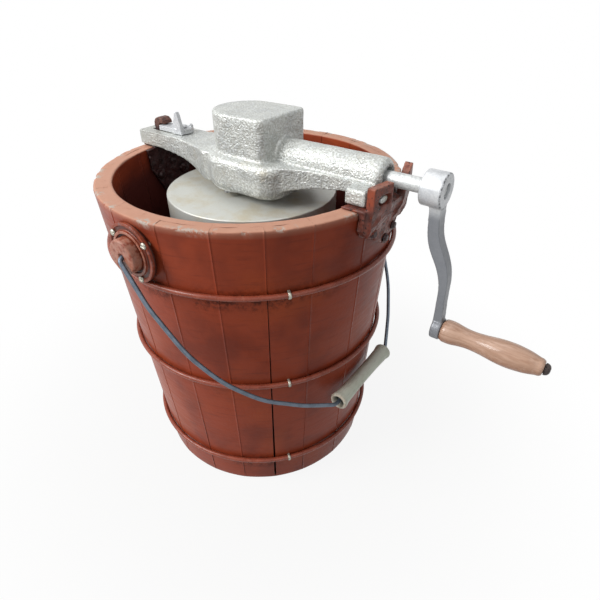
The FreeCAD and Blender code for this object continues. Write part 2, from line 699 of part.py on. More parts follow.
def dasher_gear():
    """The upper wheel: it hangs on the pin in the case and holds the stem's square end."""
    far, close = root_points(wheel_teeth, pinion_teeth)
    profile = [(0, 7.3), (9.0, 7.3), (9.0, close[1]), close, far, (far[0], 17.5), (12.0, 19.0),
               (12.0, 25.6), (0, 25.6)]
    solid = wheel(profile)
    solid.translate(vec(0, 0, shaft_height))
    side = stem_square / 2 + 0.05
    solid = solid.cut(box((-side, -side, 310), (side, side, stem_top + 0.3)))
    return solid.cut(upright(4.0 + running_gap, 321.4, 340)).removeSplitter()


# Can

def make_can():
    inner = can_radius - can_wall
    shell = upright(can_radius, can_low, can_high).cut(upright(inner, can_low, can_high))
    bead = Part.makeTorus(can_radius - 0.2, 1.1, vec(0, 0, can_low + 1.1), up)
    export(shell.fuse(bead), "can_shell")
    floor = upright(inner, can_low + 1.8, can_low + 3.0).cut(upright(9.0, can_low, can_low + 4))
    export(floor.cut(shell), "can_bottom")
    for part, name in zip(can_lid(), ("can_lid", "lid_band", "lid_boss")):
        export(part, name)
    foot = upright(20.0, 31.0, 34.8).fuse([upright(9.0, 34.8, 38.6), upright(4.0, 38.6, 46.8)])
    foot = foot.cut(upright(pivot_radius + running_gap, 30.0, 36.0)).removeSplitter()
    export(foot, "can_foot")
    export(can_gear(), "can_gear")


def can_lid():
    """The lid's three sheets: a round top with a rounded edge, a deep band soldered below it,
    and a square boss for the drive."""
    inside = lid_radius - lid_sheet
    profile = [(0, lid_top - lid_sheet), (inside - 2.2, lid_top - lid_sheet),
               (inside - 0.6, 269.4), (inside, lid_band_top), (lid_radius, lid_band_top),
               (lid_radius, 269.6), (lid_radius - 0.6, 271.0), (lid_radius - 2.0, lid_top),
               (0, lid_top)]
    band = upright(lid_radius, lid_skirt_low, lid_band_top)
    band = band.cut(upright(inside, lid_skirt_low, lid_band_top))
    side = lid_boss_side / 2
    boss = box((-side, -side, lid_top), (side, side, lid_boss_top))
    hole = upright(stem_radius + stem_gap, 260, 290)
    return spun(profile).cut(hole), band, boss.cut(hole)


# Dasher

def make_dasher():
    half = stem_square / 2
    stem = upright(stem_radius, stem_low, stem_round_top)
    stem = stem.fuse(box((-half, -half, stem_round_top - 1), (half, half, stem_top)))
    export(stem.removeSplitter(), "dasher_stem")
    export(dasher_frame(), "dasher_frame")
    rivets = []
    for name, side in (("scraper_left", -1), ("scraper_right", 1)):
        near, far = sorted((side * dasher_reach, side * scraper_reach))
        low, high = dasher_low + 2, dasher_high - 2
        slat = box((near, -5, low), (far, 4, high))
        slat = rounded(slat, 1.5, lambda c: abs(c.x) > scraper_reach - 0.1)
        for z in (95.0, 200.0):
            x_low, x_high = sorted((side * (dasher_reach - 8), side * (scraper_reach - 3)))
            rivet = lengthwise(1.5, x_low, x_high, 0, z)
            slat = slat.cut(rivet)
            rivets.append(rivet)
        export(slat, name)
    export(Part.makeCompound(rivets), "scraper_rivets")
    export(dasher_gear(), "dasher_gear")


def dasher_frame():
    """A cast frame: two arms and two side bars round the stem, with slanting beater bars."""
    parts = []
    for low, high in ((dasher_low, dasher_low + 11), (dasher_high - 11, dasher_high)):
        parts.append(box((-dasher_reach, -5, low), (dasher_reach, 5, high)))
        parts.append(upright(11, low, high))
    for side in (1, -1):
        near, far = sorted((side * (dasher_reach - 7), side * dasher_reach))
        parts.append(box((near, -5, dasher_low), (far, 5, dasher_high)))
        for z in (110.0, 148.0, 186.0):
            bar = box((0, -2.2, -8), (dasher_reach - 4, 2.2, 8))
            bar.rotate(vec(0, 0, 0), along_x, side * 35)
            if side < 0:
                bar.rotate(vec(0, 0, 0), up, 180)
            bar.translate(vec(0, 0, z))
            parts.append(bar)
    parts.append(upright(9.0, dasher_low, dasher_high))
    parts.append(upright(8.0, 42.0, dasher_low + 1))
    frame = parts[0].fuse(parts[1:]).removeSplitter()
    frame = frame.cut(upright(stem_radius, stem_low, 260))
    frame = frame.cut(upright(4.0 + running_gap, 40, stem_low + 1))
    for z in (95.0, 200.0):
        frame = frame.cut(lengthwise(1.5, -70, 70, 0, z).cut(upright(40, 60, 240)))
    return frame


def pivot_plate_shanks():
    places = [(18 * cos(radians(a)), 18 * sin(radians(a))) for a in (90, 210, 330)]
    return Part.makeCompound([upright(1.8, groove_high - 6, 27.0, x, y) for x, y in places])


def make_can_pivot():
    """The plate on the tub's bottom board that the can turns on, and its screws."""
    plate = upright(24.0, groove_high, 27.0).fuse(upright(pivot_radius, 27.0, 35.2))
    export(plate.removeSplitter().cut(pivot_plate_shanks()), "can_pivot_plate")
    screws = []
    for shank in pivot_plate_shanks().Solids:
        middle = shank.CenterOfMass
        head = upright(3.2, 27.0, 28.6, middle.x, middle.y)
        screws.append(shank.fuse(head).removeSplitter())
    export(Part.makeCompound(screws), "pivot_plate_screws")


# Bail

def bail_point(along, across):
    """A point of the bail, given down its sloping plane from the pivot and sideways."""
    tilt = radians(bail_tilt)
    return vec(along * sin(tilt), across, bail_height - along * cos(tilt))


def bent_path(points, radii):
    """Straight runs joined by arcs: one radius for each corner."""
    edges = []
    start = points[0]
    for before, corner, after, radius in zip(points, points[1:], points[2:], radii):
        into = (before - corner).normalize()
        out = (after - corner).normalize()
        turn = pi - acos(max(-1.0, min(1.0, into.dot(out))))
        reach = radius * tan(turn / 2)
        first, last = corner + into * reach, corner + out * reach
        middle = (into + out).normalize()
        centre = corner + middle * hypot(radius, reach)
        edges.append(Part.makeLine(start, first))
        edges.append(Part.Arc(first, centre - middle * radius, last).toShape())
        start = last
    edges.append(Part.makeLine(start, points[-1]))
    return Part.Wire(edges)


def bail_wire():
    half = [bail_point(a, y) for a, y in bail_path]
    other = [vec(p.x, -p.y, p.z) for p in reversed(half)]
    path = bent_path(half + other, bail_bend_radii + bail_bend_radii[::-1])
    circle = Part.Wire(Part.makeCircle(bail_wire_radius, half[0], along_y))
    wire = path.makePipeShell([circle], True, False)
    expected = pi * bail_wire_radius ** 2 * path.Length
    print("bail wire", round(path.Length, 1), "mm long; volume", round(wire.Volume, 1),
          "against", round(expected, 1))
    return wire


def bail_grip():
    """A turned tube, wider at its two ends, that hangs loosely on the wire."""
    half = grip_length / 2
    outer = Part.BSplineCurve()
    outer.interpolate([vec(grip_end_radius, 0, -half), vec(grip_end_radius - 0.5, 0, 6 - half),
                       vec(grip_waist_radius, 0, -half / 2.2), vec(grip_waist_radius, 0, 0),
                       vec(grip_waist_radius, 0, half / 2.2),
                       vec(grip_end_radius - 0.5, 0, half - 6), vec(grip_end_radius, 0, half)])
    bore_half = half - grip_mouth_depth
    corners = [vec(grip_end_radius, 0, half), vec(grip_mouth_radius, 0, half),
               vec(grip_bore_radius, 0, bore_half), vec(grip_bore_radius, 0, -bore_half),
               vec(grip_mouth_radius, 0, -half), vec(grip_end_radius, 0, -half)]
    edges = [outer.toShape()] + [Part.makeLine(a, b) for a, b in zip(corners, corners[1:])]
    tube = Part.Face(Part.Wire(Part.__sortEdges__(edges))).revolve(vec(0, 0, 0), up, 360)
    tube.rotate(vec(0, 0, 0), along_x, -90)
    tube.translate(bail_point(bail_path[-1][0], 0))
    return tube


def make_bail():
    export(bail_wire(), "bail_wire")
    export(bail_grip(), "bail_grip")


make_tub()
make_hoops()
make_ears()
make_brackets()
make_gear_frame()
make_latch()
make_crank()
make_can()
make_dasher()
make_can_pivot()
make_bail()
print("bail angle", round(degrees(radians(bail_tilt)), 1), "degrees from straight down")
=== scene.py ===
import math

import bmesh
import bpy
import numpy as np
from mathutils import Matrix, Vector


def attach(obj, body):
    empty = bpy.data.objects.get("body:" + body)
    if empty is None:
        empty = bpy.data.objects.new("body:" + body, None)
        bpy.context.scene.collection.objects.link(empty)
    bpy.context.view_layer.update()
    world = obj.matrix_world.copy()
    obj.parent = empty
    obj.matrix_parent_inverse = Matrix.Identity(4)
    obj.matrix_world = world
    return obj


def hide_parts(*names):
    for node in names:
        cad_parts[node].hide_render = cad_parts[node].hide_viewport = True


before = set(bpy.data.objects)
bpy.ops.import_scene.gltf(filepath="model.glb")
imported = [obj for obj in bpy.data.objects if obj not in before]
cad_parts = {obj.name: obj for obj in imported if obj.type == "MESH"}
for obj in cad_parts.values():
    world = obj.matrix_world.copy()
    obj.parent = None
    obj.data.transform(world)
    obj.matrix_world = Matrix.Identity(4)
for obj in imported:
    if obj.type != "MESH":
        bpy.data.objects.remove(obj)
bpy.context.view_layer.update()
mm = 0.001  # every size below is in millimetres, from the tub's axis and the ground
axisPlace = np.array([-68.5, 0, 0])  # where the tub's axis stands in the room
shaftHeight = 306.7  # the crank shaft's middle over the ground
bailHeight = 262.0  # the holes of the bail's ears


# numbers and outlines

def ease(low, high, x):
    # 0 below low and 1 above high, and 3t^2 - 2t^3 between them
    t = np.clip((np.asarray(x, float) - low) / (high - low), 0.0, 1.0)
    return t * t * (3.0 - 2.0 * t)


def lumps(points, size, seed):
    # smooth noise from -1 to 1: a fixed random value at each corner of a lattice of cubes of
    # this size, blended across the cube with the curve of ease
    place = np.asarray(points, float) / size
    cell = np.floor(place).astype(np.int64)
    t = place - cell
    t = t * t * (3.0 - 2.0 * t)
    total = np.zeros(place.shape[:-1])
    for corner in np.ndindex(2, 2, 2):
        c = cell + corner
        code = (c[..., 0] * 374761393 + c[..., 1] * 668265263 + c[..., 2] * 2147483629
                + seed * 974634777) & 0xFFFFFFFF
        code = ((code ^ (code >> 13)) * 1274126177) & 0xFFFFFFFF
        value = ((code ^ (code >> 16)) & 0xFFFF) / 32767.5 - 1.0
        total += value * np.prod(np.where(corner, t, 1.0 - t), axis=-1)
    return total


def curveThrough(xs, ys, x):
    # a smooth curve through the points: cubic pieces whose slope at a point is that of the
    # chord between its two neighbours
    xs, ys = np.asarray(xs, float), np.asarray(ys, float)
    slope = np.gradient(ys, xs)
    k = np.clip(np.searchsorted(xs, x) - 1, 0, len(xs) - 2)
    width = xs[k + 1] - xs[k]
    t = (x - xs[k]) / width
    return ((2 * t**3 - 3 * t**2 + 1) * ys[k] + (t**3 - 2 * t**2 + t) * width * slope[k]
            + (3 * t**2 - 2 * t**3) * ys[k + 1] + (t**3 - t**2) * width * slope[k + 1])


def filleted(corners, radii, closed=True, step=0.35):
    # an outline whose corners are arcs tangent to both sides: the arc's centre lies on the
    # corner's bisector at radius / sin(half angle)
    corners = np.asarray(corners, float)
    count = len(corners)
    rows = []
    for k, radius in enumerate(radii):
        here = corners[k]
        if radius == 0 or (not closed and k in (0, count - 1)):
            rows.append(here[None])
            continue
        a, b = corners[k - 1] - here, corners[(k + 1) % count] - here
        a, b = a / np.linalg.norm(a), b / np.linalg.norm(b)
        half = math.acos(np.clip(a @ b, -1, 1)) / 2
        centre = here + (a + b) / np.linalg.norm(a + b) * radius / math.sin(half)
        turn = math.pi - 2 * half
        t = np.linspace(0, 1, max(3, int(turn / step) + 2))[:, None]
        first = here + a * radius / math.tan(half) - centre
        last = here + b * radius / math.tan(half) - centre
        rows.append(centre + (np.sin((1 - t) * turn) * first + np.sin(t * turn) * last)
                    / math.sin(turn))
    return np.vstack(rows)


def spread(path, gap):
    # the same line with its points an even gap apart
    run = np.concatenate([[0], np.cumsum(np.linalg.norm(np.diff(path, axis=0), axis=1))])
    even = np.linspace(0, run[-1], max(2, int(run[-1] / gap)))
    return np.stack([np.interp(even, run, path[:, k]) for k in range(path.shape[1])], -1)


# grids

def turnedGrid(profile, steps, centre=(0, 0, 0), axis="z"):
    # the profile's (radius, distance along the axis) pairs carried once round the axis
    angle = np.linspace(0, 2 * math.pi, steps, endpoint=False)
    radius, along = profile[:, :1], profile[:, 1:]
    a, b = radius * np.cos(angle), radius * np.sin(angle)
    c = along + 0 * a
    order = {"x": (c, a, b), "y": (b, c, a), "z": (a, b, c)}[axis]
    return np.stack(order, -1) + np.asarray(centre, float)


def sweptGrid(path, normal, wide, thick, steps=14, closed=False):
    # an ellipse carried along a path that lies in one plane: its half width points along the
    # plane's normal and its half thickness across the path
    path, normal = np.asarray(path, float), np.asarray(normal, float)
    if closed:
        ahead = np.roll(path, -1, 0) - np.roll(path, 1, 0)
    else:
        ahead = np.gradient(path, axis=0)
    ahead /= np.linalg.norm(ahead, axis=1)[:, None]
    side = np.cross(normal, ahead)
    size = np.ones(len(path))
    if not closed:
        path = np.vstack([path[:1], path[:1], path, path[-1:], path[-1:]])
        side = np.vstack([side[:1], side[:1], side, side[-1:], side[-1:]])
        size = np.concatenate([[0, 0.8], size, [0.8, 0]])
    angle = np.linspace(0, 2 * math.pi, steps, endpoint=False)
    wide, thick = wide * size[:, None, None], thick * size[:, None, None]
    return (path[:, None] + wide * np.sin(angle)[:, None] * normal
            + thick * np.cos(angle)[:, None] * side[:, None])


def makePiece(name, grids, body, material, nodes=(), values=None):
    # grids of points become four-sided faces between neighbours; each grid is closed, and it is
    # turned the other way when the volume it holds, a sum of a.(b x c), comes out negative
    points, faces, count = [], [], 0
    for grid, wrapRows, wrapCols in grids:
        index = np.arange(grid.shape[0] * grid.shape[1]).reshape(grid.shape[:2])
        if wrapRows:
            index = np.vstack([index, index[:1]])
        if wrapCols:
            index = np.hstack([index, index[:, :1]])
        quads = np.stack([index[:-1, :-1], index[:-1, 1:], index[1:, 1:], index[1:, :-1]], -1)
        quads = quads.reshape(-1, 4)
        flat = grid.reshape(-1, 3)
        a, b, c, d = (flat[quads[:, k]] for k in range(4))
        if (a * (np.cross(b, c) + np.cross(c, d))).sum() < 0:
            quads = quads[:, ::-1]
        points.append(flat)
        faces.append(quads + count)
        count += len(flat)
    mesh = bpy.data.meshes.new(name)
    mesh.from_pydata((np.vstack(points) + axisPlace) * mm, [], np.vstack(faces))
    for key, field in (values or {}).items():
        mesh.attributes.new(key, "FLOAT", "POINT").data.foreach_set(
            "value", np.ascontiguousarray(field, np.float32).ravel())
    joined = bmesh.new()
    joined.from_mesh(mesh)
    bmesh.ops.remove_doubles(joined, verts=joined.verts, dist=0.0005 * mm)
    joined.to_mesh(mesh)
    joined.free()
    return placePiece(name, mesh, body, material, nodes)


def placePiece(name, mesh, body, material, nodes):
    mesh.shade_smooth()
    mesh.materials.clear()
    mesh.materials.append(material)
    piece = bpy.data.objects.new(name, mesh)
    bpy.context.scene.collection.objects.link(piece)
    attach(piece, body)
    if nodes:
        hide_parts(*nodes)
    return piece


def softCasting(name, node, cell, relax, waves, body, slotName, material, coarse=None,
                marks=None):
    # a casting: a copy of the solid rebuilt on even cells and relaxed, which gives each edge a
    # soft round; its points then move in along their normals by the sum of the waves of lumps,
    # times the share that coarse gives for a point; marks gives fields for the paint
    copy = bmesh.new()
    copy.from_mesh(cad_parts[node].data)
    bmesh.ops.remove_doubles(copy, verts=copy.verts, dist=0.001 * mm)
    raw = bpy.data.meshes.new(name + "Raw")
    copy.to_mesh(raw)
    copy.free()
    holder = bpy.data.objects.new(name + "Raw", raw)
    bpy.context.scene.collection.objects.link(holder)
    cells = holder.modifiers.new("cells", "REMESH")
    cells.mode, cells.voxel_size = "VOXEL", cell * mm
    relaxed = holder.modifiers.new("relax", "SMOOTH")
    relaxed.factor, relaxed.iterations = 0.5, relax
    ready = holder.evaluated_get(bpy.context.evaluated_depsgraph_get())
    mesh = bpy.data.meshes.new_from_object(ready)
    mesh.name = name
    bpy.data.objects.remove(holder)
    bpy.data.meshes.remove(raw)
    points = np.empty(len(mesh.vertices) * 3)
    normals = np.empty(len(mesh.vertices) * 3, np.float32)
    mesh.vertices.foreach_get("co", points)
    mesh.vertex_normals.foreach_get("vector", normals)
    points, normals = points.reshape(-1, 3), normals.reshape(-1, 3)
    place = points / mm - axisPlace
    push = sum(depth * (lumps(place, size, seed) - 1) for seed, (size, depth) in enumerate(waves))
    if coarse:
        push = push * coarse(place)
    points = points + normals * push[:, None] * mm / 2
    mesh.vertices.foreach_set("co", points.ravel())
    for key, field in (marks(place) if marks else {}).items():
        mesh.attributes.new(key, "FLOAT", "POINT").data.foreach_set(
            "value", np.ascontiguousarray(field, np.float32))
    print(name, "has", len(mesh.polygons), "faces")
    return placePiece(name, mesh, body, material, (node,))


# material tools

def colour(code):
    # a colour as written in a picture, such as "8a3f2a", made linear
    parts = [int(code[k:k + 2], 16) / 255 for k in (0, 2, 4)]
    return tuple(p / 12.92 if p <= 0.04045 else ((p + 0.055) / 1.055) ** 2.4
                 for p in parts) + (1.0,)


def addNode(tree, kind, inputs=None, **options):
    made = tree.nodes.new("ShaderNode" + kind)
    for key, value in options.items():
        setattr(made, key, value)
    for key, value in (inputs or {}).items():
        if isinstance(value, bpy.types.NodeSocket):
            tree.links.new(value, made.inputs[key])
        else:
            made.inputs[key].default_value = value
    return made


def newMaterial(name, **sockets):
    # a material with its one shader; the even values go straight on the shader's sockets
    material = bpy.data.materials.new(name)
    material.use_nodes = True
    tree = material.node_tree
    tree.nodes.clear()
    shader = addNode(tree, "BsdfPrincipled", {k.replace("_", " "): v for k, v in sockets.items()})
    output = addNode(tree, "OutputMaterial")
    tree.links.new(shader.outputs[0], output.inputs[0])
    return material, tree, shader


def surfacePlace(tree, stretch=(1, 1, 1)):
    spot = addNode(tree, "TexCoord")
    return addNode(tree, "Mapping", {"Vector": spot.outputs["Object"],
                                     "Scale": stretch}).outputs[0]


def grain(tree, place, size, detail=2.0, rough=0.5, bend=0.0):
    # noise whose marks are about this size in millimetres
    return addNode(tree, "TexNoise", {"Vector": place, "Scale": 1 / (size * mm),
                                      "Detail": detail, "Roughness": rough,
                                      "Distortion": bend}).outputs["Fac"]


def between(tree, value, low, high, start=0.0, end=1.0):
    return addNode(tree, "MapRange", {"Value": value, "From Min": low, "From Max": high,
                                      "To Min": start, "To Max": end},
                   interpolation_type="SMOOTHSTEP").outputs[0]


def sums(tree, what, a, b):
    return addNode(tree, "Math", {0: a, 1: b}, operation=what).outputs[0]


def mixed(tree, share, first, second):
    return addNode(tree, "Mix", {0: share, 6: first, 7: second}, data_type="RGBA").outputs[2]


def relief(tree, height, depth, before=None, strength=1.0):
    inputs = {"Height": height, "Distance": depth * mm, "Strength": strength}
    if before is not None:
        inputs["Normal"] = before
    return addNode(tree, "Bump", inputs).outputs[0]


def fieldOf(tree, name):
    return addNode(tree, "Attribute", attribute_name=name).outputs["Fac"]


# paints and metals

def makeTubPaint():
    # thick red-brown gloss: level brush marks, patches of a more orange and a deeper coat, a
    # thin salmon coat on worn edges that is also a painted highlight on the rim, chips to grey
    # wood, dirt bands under the hoops that are partly painted shade, painted shade in the joints,
    # and a darker coat on the inner wall that is painted shade
    look = {"brown": "8e3c24", "deep": "74301f", "orange": "9a4422", "salmon": "c0907a",
            "chip": "b3aca2", "dirtAndShade": "1c0e0c", "inside": "43201f", "mark": "54241b"}
    material, tree, shader = newMaterial("tubPaint", Specular_IOR_Level=0.12)
    place = surfacePlace(tree)
    strokes = surfacePlace(tree, (0.1, 0.1, 1))
    body = mixed(tree, between(tree, grain(tree, place, 45, 3, 0.55), 0.4, 0.68),
                 colour(look["brown"]), colour(look["deep"]))
    body = mixed(tree, between(tree, grain(tree, place, 70, 2), 0.5, 0.72, 0, 0.7),
                 body, colour(look["orange"]))
    body = mixed(tree, between(tree, grain(tree, strokes, 2.4, 3), 0.52, 0.75, 0, 0.3), body,
                 colour(look["mark"]))
    body = mixed(tree, sums(tree, "MULTIPLY", fieldOf(tree, "tone"), 0.16), body,
                 colour(look["deep"]))
    nicks = between(tree, grain(tree, place, 2.6, 4, 0.75), 0.71, 0.76)
    body = mixed(tree, sums(tree, "MULTIPLY", nicks, 0.5), body, colour(look["salmon"]))
    # dirt and painted shade: bands under the hoops go dark in patches
    grimeAndShade = sums(tree, "MULTIPLY", fieldOf(tree, "grimeAndShade"),
                 between(tree, grain(tree, place, 5, 5, 0.7), 0.42, 0.62))
    body = mixed(tree, sums(tree, "MULTIPLY", grimeAndShade, 0.75), body, colour(look["dirtAndShade"]))
    # worn paint and painted highlight: the rim's top and outer edge take the salmon coat
    worn = sums(tree, "MULTIPLY", fieldOf(tree, "wearAndHighlight"), between(
        tree, grain(tree, place, 7, 3, 0.6), 0.18, 0.42, 0.5, 1))
    body = mixed(tree, worn, body, colour(look["salmon"]))
    # painted shade: the inner wall below the rim's top takes the darker inside colour
    body = mixed(tree, sums(tree, "MULTIPLY", fieldOf(tree, "inner"), 0.9), body,
                 colour(look["inside"]))
    chips = sums(tree, "MULTIPLY", fieldOf(tree, "chip"),
                 between(tree, grain(tree, place, 2.6, 3, 0.6), 0.46, 0.54))
    body = mixed(tree, chips, body, colour(look["chip"]))
    # painted shade: the sides of the joints and of the open cracks go dark
    body = mixed(tree, fieldOf(tree, "recessShade"), body, colour(look["dirtAndShade"]))
    tree.links.new(body, shader.inputs["Base Color"])
    gloss = between(tree, grain(tree, strokes, 3, 3, 0.6), 0.3, 0.7, 0.3, 0.42)
    dulled = sums(tree, "ADD", gloss, sums(tree, "MULTIPLY", worn, 0.12))
    tree.links.new(sums(tree, "ADD", dulled, sums(tree, "MULTIPLY", grimeAndShade, 0.2)),
                   shader.inputs["Roughness"])
    bump = relief(tree, grain(tree, strokes, 1.4, 3, 0.55), 0.07)
    bump = relief(tree, grain(tree, place, 3.4, 3, 0.5), 0.13, bump)
    bump = relief(tree, sums(tree, "ADD", sums(tree, "ADD", chips, nicks), grimeAndShade), -0.12, bump)
    tree.links.new(bump, shader.inputs["Normal"])
    return material


def makeIronPaint(name, look, rustShare, pitDepth):
    # red-brown paint on iron: edges rubbed to a pale coat, which on the ears is also a painted
    # highlight, rust, dust, dark pits, and painted shade in the hollows that the marks give
    material, tree, shader = newMaterial(name, Specular_IOR_Level=0.35)
    place = surfacePlace(tree)
    body = mixed(tree, between(tree, grain(tree, place, 9, 3, 0.55), 0.35, 0.7),
                 colour(look["paint"]), colour(look["deep"]))
    dust = between(tree, grain(tree, place, 4, 4, 0.6), 0.52, 0.7, 0, look["dustShare"])
    body = mixed(tree, dust, body, colour(look["dust"]))
    rust = between(tree, grain(tree, place, 9, 4, 0.65), 0.66 - rustShare, 0.76 - rustShare / 2)
    rust = sums(tree, "MAXIMUM", rust, sums(tree, "MULTIPLY", fieldOf(tree, "rustAndShade"), between(
        tree, grain(tree, place, 4, 4, 0.6), 0.3, 0.5)))
    body = mixed(tree, rust, body, colour(look["rust"]))
    worn = sums(tree, "MULTIPLY", fieldOf(tree, "wearAndHighlight"), between(
        tree, grain(tree, place, 4, 4, 0.6), 0.32, 0.55))
    body = mixed(tree, worn, body, colour(look["worn"]))
    pits = between(tree, grain(tree, place, look["pitSize"], 2, 0.5), 0.6, 0.68, 0,
                   look["pitShare"])
    # painted shade: the hollows that the marks give go dark in the pit colour, as the pits do
    body = mixed(tree, sums(tree, "MAXIMUM", pits, fieldOf(tree, "recessShade")), body,
                 colour(look["pit"]))
    tree.links.new(body, shader.inputs["Base Color"])
    tree.links.new(between(tree, grain(tree, place, 3, 3), 0.3, 0.7, look["shine"],
                           look["shine"] + 0.16), shader.inputs["Roughness"])
    bump = relief(tree, grain(tree, place, look["pitSize"] * 1.5, 3, 0.55), pitDepth)
    bump = relief(tree, pits, -pitDepth, bump)
    bump = relief(tree, grain(tree, place, 0.9, 2), pitDepth * 0.25, bump)
    tree.links.new(bump, shader.inputs["Normal"])
    return material


def makeSilverPaint(name, look):
    # aluminium paint over sand cast iron: a fine sandy grain, faint grey clouds, dark specks
    # where the sand shows through, yellow stains, a duller grey where hands rub it, which on the
    # crank arm is also painted shade, and dark specks where the marks darken it: painted shade at
    # the tunnel's mouth and the hub's rim, and low on the body
    material, tree, shader = newMaterial(name, Metallic=look["metal"])
    place = surfacePlace(tree)
    sand = grain(tree, place, look["sand"], 2, 0.5)
    body = mixed(tree, between(tree, grain(tree, place, 11, 4, 0.6), 0.35, 0.7),
                 colour(look["silver"]), colour(look["cloud"]))
    body = mixed(tree, between(tree, sand, 0.62, 0.4, 0, look["sandShare"]), body,
                 colour(look["rub"]))
    stain = between(tree, grain(tree, place, 22, 3, 0.6), 0.58, 0.78, 0, look["stainShare"])
    body = mixed(tree, stain, body, colour(look["stain"]))
    # rubbed paint, and on the crank arm painted shade, in the duller grey
    body = mixed(tree, fieldOf(tree, "rubbedAndShade"), body, colour(look["rub"]))
    specks = between(tree, grain(tree, place, 1.3, 4, 0.75), 0.66, 0.72, 0, look["speckShare"])
    body = mixed(tree, specks, body, colour(look["speck"]))
    # painted shade at the tunnel's mouth and the hub's rim, and darker low on the body, in dark
    # specks
    body = mixed(tree, sums(tree, "MULTIPLY", fieldOf(tree, "grimeAndShade"), between(
        tree, grain(tree, place, 2.2, 4, 0.65), 0.4, 0.58)), body, colour(look["speck"]))
    rust = between(tree, grain(tree, place, 6, 4, 0.7), 0.72, 0.78, 0, look["rustShare"])
    body = mixed(tree, rust, body, colour(look["rust"]))
    tree.links.new(body, shader.inputs["Base Color"])
    tree.links.new(between(tree, grain(tree, place, 3, 3), 0.3, 0.7, look["shine"],
                           look["shine"] + 0.12), shader.inputs["Roughness"])
    bump = relief(tree, sand, look["depth"])
    bump = relief(tree, grain(tree, place, look["sand"] * 3, 2), look["depth"] * 0.6, bump)
    bump = relief(tree, specks, -0.1, bump)
    tree.links.new(bump, shader.inputs["Normal"])
    return material


def makeMetal(name, base, mark, shine, markSize, depth, metal=1.0, streak=(1, 1, 1)):
    # worked metal: faint marks of another tone, and scratches drawn out along one direction
    material, tree, shader = newMaterial(name, Metallic=metal)
    place, drawn = surfacePlace(tree), surfacePlace(tree, streak)
    body = mixed(tree, between(tree, grain(tree, place, markSize, 5, 0.65), 0.42, 0.68),
                 colour(base), colour(mark))
    tree.links.new(body, shader.inputs["Base Color"])
    tree.links.new(between(tree, grain(tree, drawn, 1.2, 4, 0.6), 0.3, 0.7, shine, shine + 0.2),
                   shader.inputs["Roughness"])
    tree.links.new(relief(tree, grain(tree, drawn, 0.8, 3, 0.6), depth), shader.inputs["Normal"])
    return material


boreShade = "17110e"


def makeWood(name, look, along, coat=0.0, rust=None):
    # grain lines drawn out along the piece, dark pores, and grime; where a rust colour is given
    # it stains the part the marks give, which on the handle is its underside as painted shade,
    # and a bore is painted dark as shade where the marks give it
    material, tree, shader = newMaterial(name, Coat_Weight=coat, Coat_Roughness=0.16)
    stretch = [0.07 if axis == along else 1.0 for axis in "xyz"]
    drawn, place = surfacePlace(tree, stretch), surfacePlace(tree)
    rings = grain(tree, drawn, look["ring"], 4, 0.6, 0.6)
    body = mixed(tree, between(tree, rings, 0.35, 0.65), colour(look["dark"]),
                 colour(look["light"]))
    pores = between(tree, grain(tree, drawn, 0.7, 3, 0.7), 0.58, 0.7, 0, look["poreShare"])
    body = mixed(tree, pores, body, colour(look["pore"]))
    grimeAndShade = between(tree, grain(tree, place, 12, 4, 0.6), 0.5, 0.75, 0, look["grimeShare"])
    body = mixed(tree, grimeAndShade, body, colour(look["grimeAndShade"]))
    # rust, and on the handle painted shade on its underside
    if rust:
        stain = sums(tree, "MULTIPLY", fieldOf(tree, "rustAndShade"),
                     between(tree, grain(tree, place, 3, 4, 0.6), 0.3, 0.5))
        body = mixed(tree, stain, body, colour(rust))
    # painted shade: the inside of a bore goes dark
    body = mixed(tree, fieldOf(tree, "recessShade"), body, colour(boreShade))
    tree.links.new(body, shader.inputs["Base Color"])
    tree.links.new(between(tree, grain(tree, place, 5, 4), 0.3, 0.7, look["shine"],
                           look["shine"] + 0.18), shader.inputs["Roughness"])
    bump = relief(tree, grain(tree, drawn, 0.8, 3, 0.6), look["depth"])
    bump = relief(tree, grain(tree, place, 4, 3), look["depth"], bump)
    tree.links.new(bump, shader.inputs["Normal"])
    return material


tubPaint = makeTubPaint()
hoopPaint = makeIronPaint("hoopPaint", {
    "paint": "8c4431", "deep": "7a3929", "dust": "a96c58", "dustShare": 0.3, "rust": "5a2c1c",
    "worn": "c79a88", "pit": "3a1a13", "pitShare": 0.0, "pitSize": 1.5, "shine": 0.24}, 0.0, 0.03)
earPaint = makeIronPaint("earPaint", {
    "paint": "8f4229", "deep": "74331f", "dust": "8d6a68", "dustShare": 0.55, "rust": "5b2a18",
    "worn": "bd8e7a", "pit": "1d0e0c", "pitShare": 0.25, "pitSize": 1.2, "shine": 0.3}, 0.0, 0.06)
bracketPaint = makeIronPaint("bracketPaint", {
    "paint": "7a3e30", "deep": "54302a", "dust": "8f6152", "dustShare": 0.3, "rust": "95462c",
    "worn": "b07a66", "pit": "140b0b", "pitShare": 0.9, "pitSize": 2.2, "shine": 0.34}, 0.02, 0.35)
# painted shade: a darker copy of the bracket paint for the bracket inside the tub and the bracket
# screws
shadedBracketPaint = makeIronPaint("shadedBracketPaint", {
    "paint": "3a1c1c", "deep": "241213", "dust": "5a3833", "dustShare": 0.35, "rust": "5c3020",
    "worn": "70493c", "pit": "0e0808", "pitShare": 0.7, "pitSize": 1.6, "shine": 0.38}, 0.02, 0.4)
framePaint = makeSilverPaint("framePaint", {
    "silver": "d6d9d6", "cloud": "c2c6c6", "stain": "c3b797", "stainShare": 0.45,
    "rub": "a4a49c", "speck": "5f6263", "speckShare": 0.5, "rust": "96683f", "rustShare": 0.6,
    "metal": 0.35, "sand": 1.5, "sandShare": 0.65, "shine": 0.34, "depth": 0.9})
